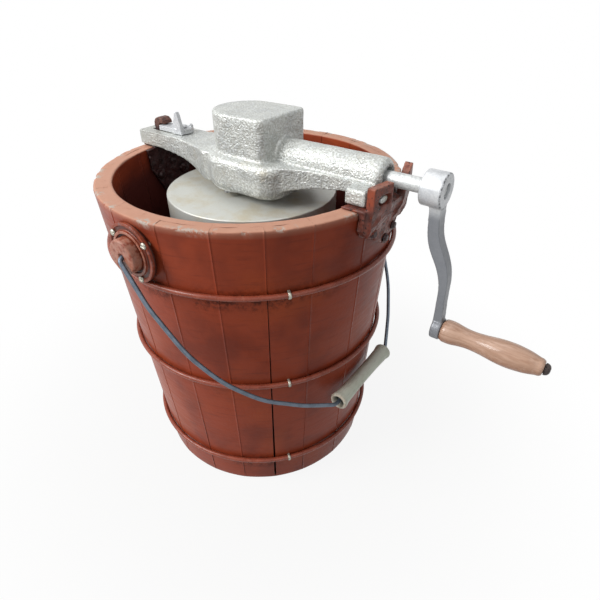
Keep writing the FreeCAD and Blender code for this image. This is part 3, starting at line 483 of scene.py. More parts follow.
# on the crank arm the rub colour also stands in for painted shade below the hub
armPaint = makeSilverPaint("armPaint", {
    "silver": "d4d6d8", "cloud": "c3c6ca", "stain": "b9b3a2", "stainShare": 0.3,
    "rub": "6a6d73", "speck": "3c3f43", "speckShare": 0.7, "rust": "8b6a4c", "rustShare": 0.3,
    "metal": 0.35, "sand": 1.2, "sandShare": 0.15, "shine": 0.36, "depth": 0.14})
lidZinc = makeMetal("lidZinc", "c9cac4", "c0b9a6", 0.36, 26, 0.012, 0.3)
canTin = makeMetal("canTin", "9a9b98", "7d7b76", 0.34, 14, 0.02, 0.9)
bareZinc = makeMetal("bareZinc", "b5b3a6", "7f7d72", 0.34, 1.6, 0.05, 0.7)
shaftSteel = makeMetal("shaftSteel", "d2d4d3", "b0b3b4", 0.38, 2.5, 0.03, 0.4, (0.15, 1, 1))
plainSteel = makeMetal("plainSteel", "a3a5a6", "77787a", 0.32, 5, 0.03)
darkSteel = makeMetal("darkSteel", "453b38", "2a2423", 0.38, 2, 0.05, 0.5)
gearIron = makeMetal("gearIron", "7e8082", "4d4a46", 0.42, 4, 0.06)
bushBrass = makeMetal("bushBrass", "b08d4c", "7c6236", 0.3, 5, 0.02)
tinnedIron = makeMetal("tinnedIron", "a8a9a8", "86857f", 0.4, 6, 0.05)
wireSteel = makeMetal("wireSteel", "68727e", "59626d", 0.36, 8, 0.015, 0.75)
# painted shade: the rust colour given here darkens the handle's underside
handleWood = makeWood("handleWood", {
    "light": "b8957f", "dark": "a07a62", "pore": "7d5a46", "poreShare": 0.35, "grimeAndShade": "95705a",
    "ring": 2.6, "grimeShare": 0.4, "shine": 0.38, "depth": 0.04}, "x", 0.5, "965f3c")
bareWood = makeWood("bareWood", {
    "light": "b39268", "dark": "8f6f49", "pore": "5e452c", "poreShare": 0.7, "grimeAndShade": "6d5138",
    "ring": 5.0, "grimeShare": 0.5, "shine": 0.55, "depth": 0.15}, "x")
slatWood = makeWood("slatWood", {
    "light": "bf9f74", "dark": "9c7c54", "pore": "6b5034", "poreShare": 0.6, "grimeAndShade": "7d6244",
    "ring": 4.0, "grimeShare": 0.3, "shine": 0.5, "depth": 0.12}, "z")
gripPaint = makeWood("gripPaint", {
    "light": "d2d6c8", "dark": "c2c6b6", "pore": "77746a", "poreShare": 0.3, "grimeAndShade": "a09478",
    "ring": 6.0, "grimeShare": 0.35, "shine": 0.38, "depth": 0.08}, "y", 0.0, "9a5a3a")
print("materials ready:", len(bpy.data.materials))


# tub

tub = {
    "height": 290.0, "topRadius": 130.0, "footRadius": 111.0, "wall": 15.0,
    "edge": 1.6,  # round of the rim and the foot
    "seams": (-78.5, -61, -45, -30, -9, 12, 33, 54, 73, 92, 113, 134, 155, 176, 198, 220, 241,
              261),
    "groove": (12.0, 24.0, 100.2),  # low, high, radius
    "flatness": 0.12,
    "drain": (102.5, 212.0, 7.0),  # angle, height, radius
    # seam: (open width at the foot, at mid height, at the rim)
    "gaps": {-45: (1.5, 0.75, 0.06), -78.5: (0.4, 0.2, 0.06), -30: (0.35, 0.06, 0.06),
             92: (0.2, 0.2, 0.9), -61: (0.35, 0.06, 0.1)},
    "hoopLevels": (237.4, 143.6, 35.0),  # dirt and painted shade gather below each of them
    "plainGap": (0.03, 0.02, 0.04),
    "joint": 0.02,  # what is left between two staves where the joint is shut
    "gapDepth": 3.2,  # the joint is open this far into the wall
    "gapFade": 2.5,  # and shuts over this much more
    "gapFoot": (2, 7),  # it opens between these heights over the ground
    "arris": 0.025, "gapArris": 0.35,  # round of a joint's edges, and more for an open one
    "waveDepth": 0.10, "faceInset": 0.16, "notchDepth": 0.9, "rimWaver": 0.25,
}


def tubRadius(z):
    # the outside radius grows in a straight line from the foot to the rim
    return tub["footRadius"] + (tub["topRadius"] - tub["footRadius"]) * z / tub["height"]


def staveGrid(number):
    # u runs once round the stave's plan, along the outer face, round an arris, through the wall
    # and back along the inner face. v runs up it. A point's radius is the cone's radius at its
    # height less its depth in the wall, less a little of the chord's flat across the face
    seams = tub["seams"]
    start, end = seams[number], (seams + (seams[0] + 360,))[number + 1]
    middle, reach = math.radians((start + end) / 2), math.radians((end - start) / 2)
    turn = np.linspace(0, math.pi / 2, 4)[1:-1]
    face = np.linspace(-1, 1, 27)
    wallSteps = np.linspace(0, 1, 6)[1:-1]
    right = np.array([
        np.concatenate([[1], 1 + 0 * turn, [1], 1 + 0 * wallSteps, [1], 1 + 0 * turn, [1]]),
        np.concatenate([[0], np.sin(turn), [1], 1 + 0 * wallSteps, [1], np.sin(turn[::-1]), [0]]),
        np.concatenate([[0], 0 * turn, [0], wallSteps, [1], 1 + 0 * turn, [1]]),
        np.concatenate([[0], 1 - np.cos(turn), [1], 0 * wallSteps, [-1],
                        np.cos(turn[::-1]) - 1, [0]])])
    outer = np.array([face[1:-1], 0 * face[1:-1], 0 * face[1:-1], 0 * face[1:-1]])
    inner = np.array([face[-2:0:-1], 0 * face[1:-1], 1 + 0 * face[1:-1], 0 * face[1:-1]])
    left = right[:, ::-1] * np.array([[-1], [-1], [1], [1]])
    across, sidePull, depthShare, depthPull = np.hstack([outer, right, inner, left])
    # rows: height, pull in from both faces, and share of the way to the wall's middle
    bend = np.linspace(0, math.pi / 2, 5)
    edge, high = tub["edge"], tub["height"]
    low, top, grooveRadius = tub["groove"]
    body = np.unique(np.concatenate([np.arange(edge, high - edge, 3.4), [high - edge]]))
    body = np.sort(np.concatenate([body[(abs(body - low) > 1) & (abs(body - top) > 1)],
                                   [low, low + 0.01, top - 0.01, top]]))
    height = np.concatenate([[0, 0, 0], edge * (1 - np.cos(bend[:-1])), body,
                             high - edge + edge * np.sin(bend[1:]), [high] * 4])
    pull = np.concatenate([[edge] * 3, edge * (1 - np.sin(bend[:-1])), 0 * body,
                           edge * (1 - np.cos(bend[1:])), [edge] * 4])
    close = np.concatenate([[1, 0.6, 0.25], 0 * bend[:-1], 0 * body, 0 * bend[1:],
                            [0.2, 0.45, 0.75, 1]])
    height, pull, close = height[:, None], pull[:, None], close[:, None]
    outside = tubRadius(height)
    inGroove = (height > low) & (height < top)
    wall = np.where(inGroove, outside - grooveRadius, tub["wall"]) + 0 * across
    widths = [tub["gaps"].get(a, tub["plainGap"]) for a in (start, (seams * 2)[number + 1])]
    opening = [np.interp(height, (0, 140, high), w) for w in widths]
    gap = np.where(across > 0, opening[1], opening[0])
    intoWall = ease(tub["gapDepth"], tub["gapDepth"] + tub["gapFade"], depthShare * wall)
    gap = tub["joint"] + ease(*tub["gapFoot"], height) * gap * (1 - intoWall)
    arris = tub["arris"] + tub["gapArris"] * gap
    depth = depthShare * wall + depthPull * arris + pull * (1 - 2 * depthShare)
    depth = depth + (wall / 2 - depth) * close
    # dents and waves on the faces, and notches along the rim's outer edge
    round0 = np.stack([outside * (middle + across * reach), 0 * height + 40 * depthShare,
                       height + 0 * across], -1)
    onFace = (1 - np.abs(sidePull)) * (1 - close)
    wavy = tub["waveDepth"] * lumps(round0 * (1, 1, 0.2), 15, 3)
    wavy = wavy + tub["waveDepth"] * lumps(round0, 30, 4)
    notch = ease(0.25, 0.6, lumps(round0, 5, 6)) * ease(high - 3.2, high - 0.4, height)
    notch = notch * (depthShare < 0.1) * (1 - close)
    depth = depth + (wavy + tub["faceInset"]) * onFace * (1 - 2 * depthShare)
    depth = depth + tub["notchDepth"] * notch
    radius = outside - depth
    flat = outside * (np.cos(across * reach) - math.cos(reach)) * (1 - depthShare)
    radius = radius - tub["flatness"] * flat
    halfWide = reach * radius - gap / 2
    sideways = across * (halfWide - arris) + sidePull * arris
    angle = middle + sideways / radius
    lift = height + tub["rimWaver"] * (lumps(round0, 9, 8) - 1) * ease(high - 1, high, height)
    grid = np.stack([radius * np.cos(angle), radius * np.sin(angle), lift], -1)
    nearTop = ease(high - 5, high - 0.5, height)
    outerEdge = nearTop * (depthShare < 0.5) * (1 - ease(0, 0.5, close))
    # worn paint and a painted highlight: the rim's top, and half as much the outer edge near it
    wearAndHighlight = np.maximum(ease(high - 1.4, high - 0.1, height), 0.5 * outerEdge)
    chip = outerEdge * ease(0.35, 0.7, lumps(round0, 21, 12)) * ease(
        -112, -60, np.degrees(angle)) + 0.9 * notch
    # painted shade: a joint's sides go dark deeper in, and an open crack's edges go dark
    seam = 0.4 * np.abs(sidePull) * ease(0.8, 3.0, depth) + (gap > 0.3) * ease(0.2, 0.9, np.abs(
        sidePull))
    # bands under each hoop, in patches, darkened as dirt and as painted shade under the hoop
    grimeAndShade = sum(np.exp(-((height - z + 5) / 9) ** 2) for z in tub["hoopLevels"])
    grimeAndShade = grimeAndShade * ease(-0.1, 0.6, lumps(round0, 24, 13)) * (1 - nearTop)
    # painted shade: the inner wall goes dark below the rim's top
    inner = ease(0.6, 0.95, depthShare) * (1 - ease(high - 26, high - 4, height))
    tone = np.full(grid.shape[:2], (number * 0.618) % 1)
    return grid, {"wearAndHighlight": wearAndHighlight + 0 * across, "chip": np.clip(chip, 0, 1) + 0 * across,
                  "recessShade": np.clip(seam, 0, 1) * (1 - ease(0.3, 0.9, close)),
                  "grimeAndShade": grimeAndShade + 0 * across, "inner": inner + 0 * height, "tone": tone}


def drilled(piece, angle, height, radius):
    # a round hole through the stave, cut with a drill whose rings are cos and sin of an angle
    turn = math.radians(angle)
    out, side = np.array([math.cos(turn), math.sin(turn), 0]), np.array(
        [-math.sin(turn), math.cos(turn), 0])
    around = np.linspace(0, 2 * math.pi, 48, endpoint=False)[:, None]
    ring = radius * (np.cos(around) * side + np.sin(around) * np.array([0, 0, 1.0]))
    rows = [0 * ring + out * 90, ring + out * 90, ring + out * 150, 0 * ring + out * 150]
    grid = np.stack(rows) + np.array([0, 0, height])
    drill = makePiece("drainDrill", [(grid, False, True)], "tub", tubPaint)
    cut = piece.modifiers.new("drain", "BOOLEAN")
    cut.object, cut.solver = drill, "EXACT"
    ready = piece.evaluated_get(bpy.context.evaluated_depsgraph_get())
    mesh = bpy.data.meshes.new_from_object(ready)
    piece.modifiers.clear()
    piece.data = mesh
    bpy.data.objects.remove(drill)


for number in range(len(tub["seams"])):
    grid, values = staveGrid(number)
    stave = makePiece("stave%02d" % (number + 1), [(grid, False, True)], "tub",
                      tubPaint, ("tub_stave_%02d" % (number + 1),), values)
    if number == 9:
        drilled(stave, *tub["drain"])
print("staves:", len(tub["seams"]))


# hoops and their staples

hoops = {"wire": 2.2, "levels": dict(zip(("Top", "Middle", "Bottom"), tub["hoopLevels"])),
         "staples": (-38, 82, 202), "bandHalf": 1.15, "bandThick": 0.5}


def hoopRadius(z):
    # the wire's middle lies off the tub by the wire's radius over the cosine of the wall's slope
    slope = math.atan2(tub["topRadius"] - tub["footRadius"], tub["height"])
    return tubRadius(z) + hoops["wire"] / math.cos(slope)


def hoopGrid(z):
    # a circle round the tub with a slight waver in radius and height, and a round wire on it
    angle = np.linspace(0, 2 * math.pi, 420, endpoint=False)
    flat = np.stack([np.cos(angle), np.sin(angle), 0 * angle], -1)
    path = flat * (hoopRadius(z) - 0.1 + 0.08 * lumps(flat * 120, 34, 21)[:, None])
    path[:, 2] = z + 0.22 * lumps(flat * 120, 45, 22)
    grid = sweptGrid(path, (0, 0, 1), hoops["wire"], hoops["wire"], 16, True)
    swell = 0.02 * lumps(grid, 4.0, 23)[..., None]
    return path[:, None] + (grid - path[:, None]) * (1 + swell)


def stapleGrid(z, turn):
    # a flat band bent over the hoop: half a circle round the wire with a leg at each end
    bend = np.linspace(-math.pi / 2, math.pi / 2, 15)
    radius = hoops["wire"] + 0.55
    x = np.concatenate([[-3.2, -1.6], radius * np.cos(bend), [-1.6, -3.2]])
    h = np.concatenate([[-radius] * 2, radius * np.sin(bend), [radius] * 2])
    out = np.array([math.cos(turn), math.sin(turn), 0])
    path = (hoopRadius(z) + x)[:, None] * out + (z + h)[:, None] * np.array([0, 0, 1.0])
    normal = (-math.sin(turn), math.cos(turn), 0)
    return sweptGrid(path, normal, hoops["bandHalf"], hoops["bandThick"], 10)


for where, z in hoops["levels"].items():
    makePiece("hoop" + where, [(hoopGrid(z), True, True)], "tub", hoopPaint,
              ("hoop_" + where.lower(),))
makePiece("hoopStaples", [(stapleGrid(z, math.radians(a)), False, True)
                          for z in hoops["levels"].values() for a in hoops["staples"]],
          "tub", bareZinc, ("hoop_staples",))
print("hoops and staples done")


# castings

def earMarks(place):
    # by the distance from the hole: pale edges on the ring and the boss that are rubbed paint
    # and painted highlight together, and painted shade in the gaps beside the ring and on the
    # ear's back against the tub
    reach, out = np.hypot(place[:, 0], place[:, 2] - bailHeight), np.abs(place[:, 1])
    edge = ease(133.5, 133.9, out) * (reach < 18) + ease(11.6, 12.8, reach) * (out > 140.1)
    # painted shade: two rings beside the ring, and the ear's back against the tub, go dark
    dirtAndShade = ease(13.2, 14, reach) * (1 - ease(14.8, 15.4, reach)) * (1 - ease(132, 133.4, out))
    dirtAndShade = dirtAndShade + 0.8 * ease(17.6, 18.4, reach) * (1 - ease(19.8, 20.8, reach)) * (
        1 - ease(132, 132.6, out)) + (out < 130.2)
    return {"wearAndHighlight": 0.5 * np.clip(edge, 0, 1), "recessShade": np.clip(0.85 * dirtAndShade, 0, 0.95)}


def hookMarks(place):
    # the hook's top is worn to a light brown, more the higher it stands above the frame
    return {"wearAndHighlight": 0.8 * ease(306, 311, place[:, 2])}


def bracketMarks(place):
    # bare orange rust on the near end of the front lug, and rubbed edges along the lugs' tops
    end = ease(29.0, 30.6, -place[:, 1]) * ease(294, 298, place[:, 2])
    return {"rustAndShade": 0.7 * end, "wearAndHighlight": 0.5 * ease(306.5, 308.4, place[:, 2])}


def bracketCoarse(place):
    return 1 - 0.9 * ease(284, 292, place[:, 2])  # smooth lugs above a rough plate


def crankMarks(place):
    # the arm below the hub is a dull darker grey, rubbed paint and painted shade together, and
    # the hub's rim gets a dark ring, chipped paint and painted shade together
    rubbedAndShade = 1 - ease(286, 297, place[:, 2])
    reach = np.hypot(place[:, 1], place[:, 2] - shaftHeight)
    rim = ease(11.2, 12.0, reach) * ease(173.2, 174.0, place[:, 0]) * (reach < 13)
    return {"rubbedAndShade": 0.85 * rubbedAndShade * ease(160, 168, place[:, 0]), "grimeAndShade": rim}


def frameMarks(place):
    # rubbed along the latch side's arm, darker towards the bottom of the body, and painted shade
    # as a dark ring at the tunnel's mouth
    rubbedAndShade = 0.5 * (1 - ease(-104, -84, place[:, 0]))
    reach = np.hypot(place[:, 1], place[:, 2] - shaftHeight)
    mouth = ease(129.8, 130.8, place[:, 0]) * (reach < 10)
    low = 1 - ease(283, 290, place[:, 2])
    return {"rubbedAndShade": rubbedAndShade, "grimeAndShade": np.clip(mouth + 0.5 * low, 0, 1)}


# piece: (solid, cell, rounds of relaxing, (size, depth) of each wave, body, slot, finish, share of
# the waves, marks)
castings = {
    "bailEarFront": ("bail_ear_front", 0.4, 1, ((6, 0.12), (2.2, 0.04)), "tub", "hoop_paint",
                     earPaint, None, earMarks),
    "bailEarRear": ("bail_ear_rear", 0.42, 2, ((6, 0.15), (2.2, 0.06)), "tub", "hoop_paint",
                    earPaint, None, earMarks),
    "crankSideBracket": ("crank_side_bracket", 0.6, 3, ((9, 0.9), (3.6, 1.1), (1.8, 0.5)), "tub",
                         "bracket_paint", bracketPaint, bracketCoarse, bracketMarks),
    # painted shade: the bracket inside the tub takes the darker copy of the bracket paint
    "latchSideBracket": ("latch_side_bracket", 0.7, 3, ((7, 1.2), (3.4, 1.3), (1.6, 0.5)), "tub",
                         "bracket_paint", shadedBracketPaint, bracketCoarse, hookMarks),
    "gearFrame": ("gear_frame", 1.0, 3, ((14, 0.3), (4.5, 0.14)), "tub", "frame_paint",
                  framePaint, None, frameMarks),
    "crankArm": ("crank_arm", 0.5, 2, ((12, 0.15), (3.5, 0.05)), "crank", "frame_paint",
                 armPaint, None, crankMarks),
    "latchLever": ("latch_lever", 0.4, 2, ((5, 0.1),), "latch", "frame_paint", armPaint),
    "earScrews": ("ear_screws", 0.25, 1, ((2, 0.04),), "tub", "bare_zinc", bareZinc),
}
for name, row in castings.items():
    softCasting(name, *row)
print("castings done")


# can and lid

can = {"radius": 73.6, "wall": 1.2, "low": 33.0, "high": 268.0}
lid = {"radius": 75.0, "top": 272.0, "skirt": 250.0, "sheet": 1.2, "bossHalf": 8.4,
       "bossTop": 278.6, "stemHole": 6.6}


def canGrid():
    # the can's wall: a thin upright strip with a rolled foot, turned round the axis
    inner = can["radius"] - can["wall"]
    corners = [(can["radius"], can["low"] + 3), (can["radius"], can["high"]),
               (inner, can["high"]), (inner, can["low"]), (can["radius"] - 0.2, can["low"]),
               (can["radius"] + 0.8, can["low"] + 1.2)]
    profile = spread(filleted(corners, (1, 0.5, 0.5, 0.3, 0.8, 0.8)), 4)
    return turnedGrid(profile, 160)


def lidGrid():
    # the lid's sheet turned round the axis; the boss rows are squared by dividing the radius by
    # the twelfth root of |cos|^12 + |sin|^12
    inner = lid["radius"] - lid["sheet"]
    corners = [(lid["stemHole"], lid["bossTop"]), (lid["bossHalf"], lid["bossTop"]),
               (lid["bossHalf"], lid["top"]), (lid["radius"], lid["top"]),
               (lid["radius"], lid["skirt"]), (inner, lid["skirt"]),
               (inner, lid["top"] - lid["sheet"]),
               (lid["stemHole"], lid["top"] - lid["sheet"])]
    rim = filleted(corners, (0.3, 0.8, 1.0, 1.1, 0.5, 0.5, 0.6, 0.3), step=0.2)
    flat = np.linspace(1, 0, 9)[1:-1, None]
    cut = int(np.argmax(rim[:, 0] > 20))
    rim = np.vstack([rim[:cut], flat * rim[cut - 1] + (1 - flat) * rim[cut], rim[cut:]])
    grid = turnedGrid(rim, 192)
    onBoss = (rim[:, 1] > lid["top"] + 0.05) & (rim[:, 0] > lid["stemHole"] + 0.4)
    onBoss |= (rim[:, 0] < lid["bossHalf"] + 1.5) & (rim[:, 0] > lid["stemHole"] + 0.4) & (
        rim[:, 1] > lid["top"] - 0.1)
    angle = np.linspace(0, 2 * math.pi, 192, endpoint=False)
    square = (np.abs(np.cos(angle)) ** 12 + np.abs(np.sin(angle)) ** 12) ** (-1 / 12)
    grid[..., :2] *= np.where(onBoss[:, None], square, 1.0)[..., None]
    sag = 0.35 * lumps(grid * (1, 1, 0), 40, 31) * ease(12, 40, rim[:, :1])
    grid[..., 2] += (sag - 0.35) * ease(lid["top"] - 4, lid["top"], rim[:, 1:])
    return grid


makePiece("canShell", [(canGrid(), True, True)], "can", canTin, ("can_shell",))
makePiece("canLid", [(lidGrid(), True, True)], "can", lidZinc,
          ("can_lid", "lid_band", "lid_boss"))
print("can and lid done")


# crank shaft, handle and pin

crank = {"height": shaftHeight, "shaft": 5.4, "start": 13.0, "end": 172.6, "throw": 109.2}
handle = {"start": 191.4, "length": 74.2, "bore": 3.55, "steps": 72,
          "along": (0, 1.2, 4.6, 9, 13.6, 19.6, 26, 33, 40, 46, 52, 58, 64, 69.6, 73.6, 74.2),
          "radius": (8.1, 8.9, 9.3, 9.1, 8.25, 7.5, 7.5, 8.15, 9.1, 9.65, 9.75, 9.3, 8.4, 7.0,
                     5.8, 5.2)}
pin = {"radius": 3.5, "start": 183.3, "head": 266.0, "headRadius": 4.6, "end": 270.0}


def shaftGrid():
    # a round bar with rounded ends
    corners = [(0, crank["start"]), (crank["shaft"], crank["start"]),
               (crank["shaft"], crank["end"]), (0, crank["end"])]
    profile = spread(filleted(corners, (0, 0.8, 1.2, 0), False, 0.25), 1.5)
    return turnedGrid(profile, 48, (0, 0, crank["height"]), "x")


def handleGrid():
    # the handle's outside is a smooth curve through its radii, and its bore closes the ring
    length, bore = handle["length"], handle["bore"]
    along = np.linspace(0, length, 110)
    radius = curveThrough(handle["along"], handle["radius"], along)
    outside = np.stack([radius, along], -1)
    inside = np.array([(4.4, length + 0.1), (bore, length), (bore, 50), (bore, 25), (bore, 0),
                       (6, 0)])
    profile = np.vstack([outside, inside])
    middle = np.array([0, 0, crank["height"] - crank["throw"]])
    grid = turnedGrid(profile, handle["steps"], middle + (handle["start"], 0, 0), "x")
    middle = grid * (1, 0, 0) + middle
    worn = 1 + 0.006 * lumps(grid * (0.3, 1, 1), 9, 41) * (profile[:, 0] > 7)[:, None]
    # painted shade: the handle's underside is marked for a darker orange-brown
    undersideShade = ease(-0.3, 0.7, (middle - grid)[..., 2] / handle["radius"][2])
    return middle + (grid - middle) * worn[..., None], {"rustAndShade": undersideShade}


def pinGrid():
    # the handle's pin and its domed head
    corners = [(0, pin["start"]), (pin["radius"], pin["start"]), (pin["radius"], pin["head"]),
               (pin["headRadius"], pin["head"]), (pin["headRadius"], pin["end"]),
               (0, pin["end"])]
    profile = filleted(corners, (0, 0.4, 0, 0.5, 3.6, 0), False, 0.2)
    return turnedGrid(profile, 40, (0, 0, crank["height"] - crank["throw"]), "x")


makePiece("crankShaft", [(shaftGrid(), False, True)], "crank", shaftSteel,
          ("crank_shaft",))
handleSkin, handleFields = handleGrid()
makePiece("crankGrip", [(handleSkin, True, True)], "crank_handle", handleWood,
          ("crank_grip",), handleFields)
makePiece("handlePin", [(pinGrid(), False, True)], "crank", darkSteel,
          ("handle_pin",))
print("crank done")


# bail

bail = {
    "height": bailHeight, "tilt": 40.0, "wire": 1.75,
    "half": ((0, -129), (0, -142.8), (40, -144.4), (84, -139.5), (117, -127.5), (148, -107),
             (174, -78), (196.5, -47)),
    "bends": (3.6, 90, 110, 110, 110, 110, 14),
    "grip": 43.0, "gripBore": 4.0, "gripMouth": 5.8,
    "gripAlong": (-43, -42.2, -40.5, -37, -30, -19.5, 0, 19.5, 30, 37, 40.5, 42.2, 43),
    "gripRadius": (7.3, 8.1, 8.15, 7.5, 7.15, 6.75, 6.55, 6.75, 7.15, 7.5, 8.15, 8.1, 7.3),
    "rustSpot": (-31.0, 2.5),  # place along the grip and turn round it, in radians
}


def bailPlane(flat):
    # a point (down the slope, across) of the bail's plane in the room
    slope = math.radians(bail["tilt"])
    return np.stack([flat[:, 0] * math.sin(slope), flat[:, 1],
                     bail["height"] - flat[:, 0] * math.cos(slope)], -1)


def bailWireGrid():
    # straight runs and arcs in the bail's sloping plane, with a round wire on them
    half = np.array(bail["half"], float)
    whole = np.vstack([half, half[::-1] * (1, -1)])
    bends = (0,) + bail["bends"] + bail["bends"][::-1] + (0,)
    flat = spread(filleted(whole, bends, False, 0.06), 1.6)
    away = ease(12, 60, np.minimum(np.arange(len(flat)), np.arange(len(flat))[::-1]) * 1.6)
    flat = flat + (0.5 * away * lumps(np.pad(flat, ((0, 0), (0, 1))), 38, 51))[:, None] * (1, 0)
    slope = math.radians(bail["tilt"])
    return sweptGrid(bailPlane(flat), (math.cos(slope), 0, math.sin(slope)), bail["wire"],
                     bail["wire"], 14)


def bailGripGrid():
    # a turned tube: a smooth curve through its radii outside, and a bore that widens at both
    # ends; the rust spot fades with the distance from its middle over the skin
    half, bore, mouth = bail["grip"], bail["gripBore"], bail["gripMouth"]
    along = np.linspace(-half, half, 110)
    outside = np.stack([curveThrough(bail["gripAlong"], bail["gripRadius"], along), along], -1)
    inside = [(mouth + 0.3, half), (mouth, half - 0.4), (bore, half - 7), (bore, 0),
              (bore, 7 - half), (mouth, 0.4 - half), (mouth + 0.3, -half)]
    centre = bailPlane(np.array([[bail["half"][-1][0], 0]]))[0]
    profile = np.vstack([outside, inside])
    spot, turn = bail["rustSpot"]
    angle = np.linspace(0, 2 * math.pi, 64, endpoint=False)
    away = np.hypot(profile[:, 1:] - spot, 7 * ((angle - turn + math.pi) % (2 * math.pi)
                                                - math.pi))
    rustAndShade = (1 - ease(1.5, 5.5, away)) + 0.35 * (1 - ease(0.2, 2.5, half - np.abs(
        profile[:, 1:]) + 0 * away))
    # painted shade: the inside of the bore is marked to go dark
    deep = (profile[:, :1] < mouth - 0.05) + 0 * away
    return turnedGrid(profile, 64, centre, "y"), {"rustAndShade": np.clip(rustAndShade, 0, 1),
                                                  "recessShade": deep}


makePiece("bailWire", [(bailWireGrid(), False, True)], "bail", wireSteel,
          ("bail_wire",))
gripSkin, gripFields = bailGripGrid()
makePiece("bailGrip", [(gripSkin, True, True)], "bail_handle", gripPaint,
          ("bail_grip",), gripFields)
print("bail done")


# latch rivet

rivet = {"x": -84.0, "radius": 3.0, "low": 299.0, "head": 310.2, "headRadius": 4.8,
         "top": 311.8}


def rivetGrid():
    # a round shank under a domed head
    corners = [(0, rivet["low"]), (rivet["radius"], rivet["low"]),
               (rivet["radius"], rivet["head"]), (rivet["headRadius"], rivet["head"]),
               (rivet["headRadius"] - 0.9, rivet["top"]), (0, rivet["top"])]
    profile = filleted(corners, (0, 0.3, 0, 0.3, 1.0, 0), False, 0.25)
    return turnedGrid(profile, 32, (rivet["x"], 0, 0))


makePiece("latchRivet", [(rivetGrid(), False, True)], "tub", armPaint,
          ("latch_rivet",))


# finishes of the nodes that are carried over

carried = {
    bareWood: ("tub_bottom",),
    slatWood: ("scraper_left", "scraper_right"),
    # painted shade: the bracket screws take the darker copy of the bracket paint
    shadedBracketPaint: ("bracket_screws",),
    bareZinc: ("pivot_plate_screws",),
    plainSteel: ("gear_axle_pin", "keeper_screws", "pinion_pin", "scraper_rivets",
                 "dasher_stem"),
    framePaint: ("keeper_plate",),
    bushBrass: ("inner_bush", "outer_bush"),
    gearIron: ("drive_pinion", "can_gear", "dasher_gear"),
    canTin: ("can_bottom",),
    tinnedIron: ("can_foot", "can_pivot_plate", "dasher_frame"),
}
for material, names in carried.items():
    for name in names:
        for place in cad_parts[name].material_slots:
            place.material = material
print("carried nodes finished:", sum(len(names) for names in carried.values()))


# floor, light and camera

studio = {
    "floorSize": 40000.0, "floorColour": "b4b4b2", "nearGlow": 0.9,
    "glowStart": 150.0, "glowEnd": 420.0,  # the floor turns plain white between these radii
    "worldLight": 0.22, "target": (0, 0, 180),
    # lamp: (place, size, power)
    "lamps": {"keyLamp": ((-900, -1300, 1400), 1200, 43),
              "fillLamp": ((1500, -800, 1300), 1500, 6),
              "topLamp": ((-350, 100, 2300), 1500, 9)},
}
view = {
    "place": (266.545, -290.883, 420.807), "right": (0.80608, 0.59181, -0.00131),
    "up": (-0.33552, 0.45882, 0.82274), "lens": 27.3, "sensor": 36.0, "shiftUp": -0.0042,
}


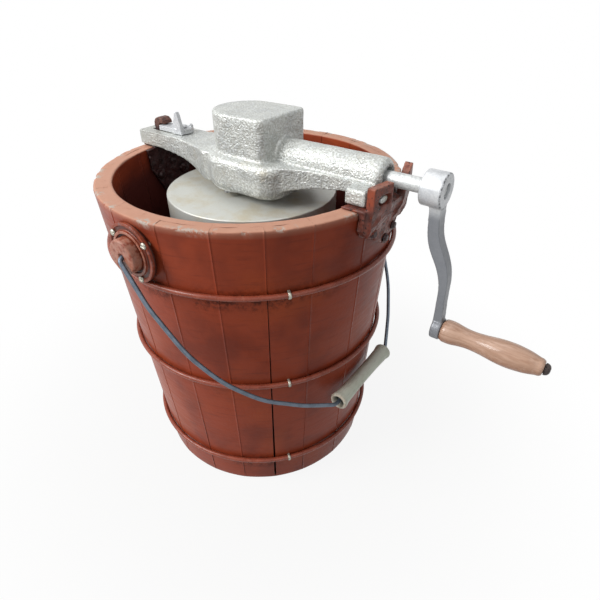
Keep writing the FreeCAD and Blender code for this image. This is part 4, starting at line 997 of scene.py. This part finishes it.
def makeFloor():
    half = studio["floorSize"] / 2 * mm
    mesh = bpy.data.meshes.new("floor")
    mesh.from_pydata([(-half, -half, 0), (half, -half, 0), (half, half, 0), (-half, half, 0)],
                     [], [(0, 1, 2, 3)])
    floor = bpy.data.objects.new("floor", mesh)
    bpy.context.scene.collection.objects.link(floor)
    material, tree, shader = newMaterial("floorPaper", Roughness=0.9)
    place = surfacePlace(tree)
    tree.links.new(mixed(tree, between(tree, grain(tree, place, 300, 2), 0.3, 0.7),
                         colour("bcbcba"), colour(studio["floorColour"])),
                   shader.inputs["Base Color"])
    glow = addNode(tree, "Emission", {"Color": (1, 1, 1, 1), "Strength": 1.0})
    away = addNode(tree, "VectorMath", {0: place, 1: tuple(axisPlace * mm)},
                   operation="DISTANCE").outputs["Value"]
    plain = between(tree, away, studio["glowStart"] * mm, studio["glowEnd"] * mm,
                    studio["nearGlow"], 1.0)
    path = addNode(tree, "LightPath")
    seen = sums(tree, "MAXIMUM", path.outputs["Is Camera Ray"],
                sums(tree, "MAXIMUM", path.outputs["Is Glossy Ray"],
                     path.outputs["Is Transmission Ray"]))
    share = addNode(tree, "MixShader", {0: sums(tree, "MULTIPLY", seen, plain),
                                        1: shader.outputs[0], 2: glow.outputs[0]})
    tree.links.new(share.outputs[0], tree.nodes["Material Output"].inputs[0])
    mesh.materials.append(material)


def makeWorld():
    world = bpy.data.worlds.new("studio")
    bpy.context.scene.world = world
    world.use_nodes = True
    tree = world.node_tree
    tree.nodes.clear()
    path = addNode(tree, "LightPath")
    seen = sums(tree, "MAXIMUM", path.outputs["Is Camera Ray"],
                sums(tree, "MAXIMUM", path.outputs["Is Glossy Ray"],
                     path.outputs["Is Transmission Ray"]))
    soft = addNode(tree, "Background", {"Color": (1, 1, 1, 1),
                                        "Strength": studio["worldLight"]})
    white = addNode(tree, "Background", {"Color": (1, 1, 1, 1), "Strength": 1.0})
    share = addNode(tree, "MixShader", {0: seen, 1: soft.outputs[0], 2: white.outputs[0]})
    output = addNode(tree, "OutputWorld")
    tree.links.new(share.outputs[0], output.inputs[0])


def makeLamp(name, place, size, power):
    lamp = bpy.data.lights.new(name, "AREA")
    lamp.shape, lamp.size, lamp.energy = "DISK", size * mm, power
    holder = bpy.data.objects.new(name, lamp)
    bpy.context.scene.collection.objects.link(holder)
    where, target = (Vector(axisPlace + spot) * mm for spot in (place, studio["target"]))
    holder.location = where
    holder.rotation_euler = (target - where).to_track_quat("-Z", "Y").to_euler()


def makeCamera():
    eye = bpy.data.cameras.new("photoCamera")
    eye.lens, eye.sensor_width, eye.shift_y = view["lens"], view["sensor"], view["shiftUp"]
    eye.clip_start = 0.01
    holder = bpy.data.objects.new("photoCamera", eye)
    bpy.context.scene.collection.objects.link(holder)
    right, up = Vector(view["right"]).normalized(), Vector(view["up"]).normalized()
    back = right.cross(up).normalized()
    up = back.cross(right)
    turn = Matrix((right, up, back)).transposed().to_4x4()
    holder.matrix_world = Matrix.Translation(Vector(axisPlace + view["place"]) * mm) @ turn
    bpy.context.scene.camera = holder


makeFloor()
makeWorld()
for name, (place, size, power) in studio["lamps"].items():
    makeLamp(name, place, size, power)
makeCamera()
bpy.context.scene.view_settings.view_transform = "Standard"
print("studio ready")
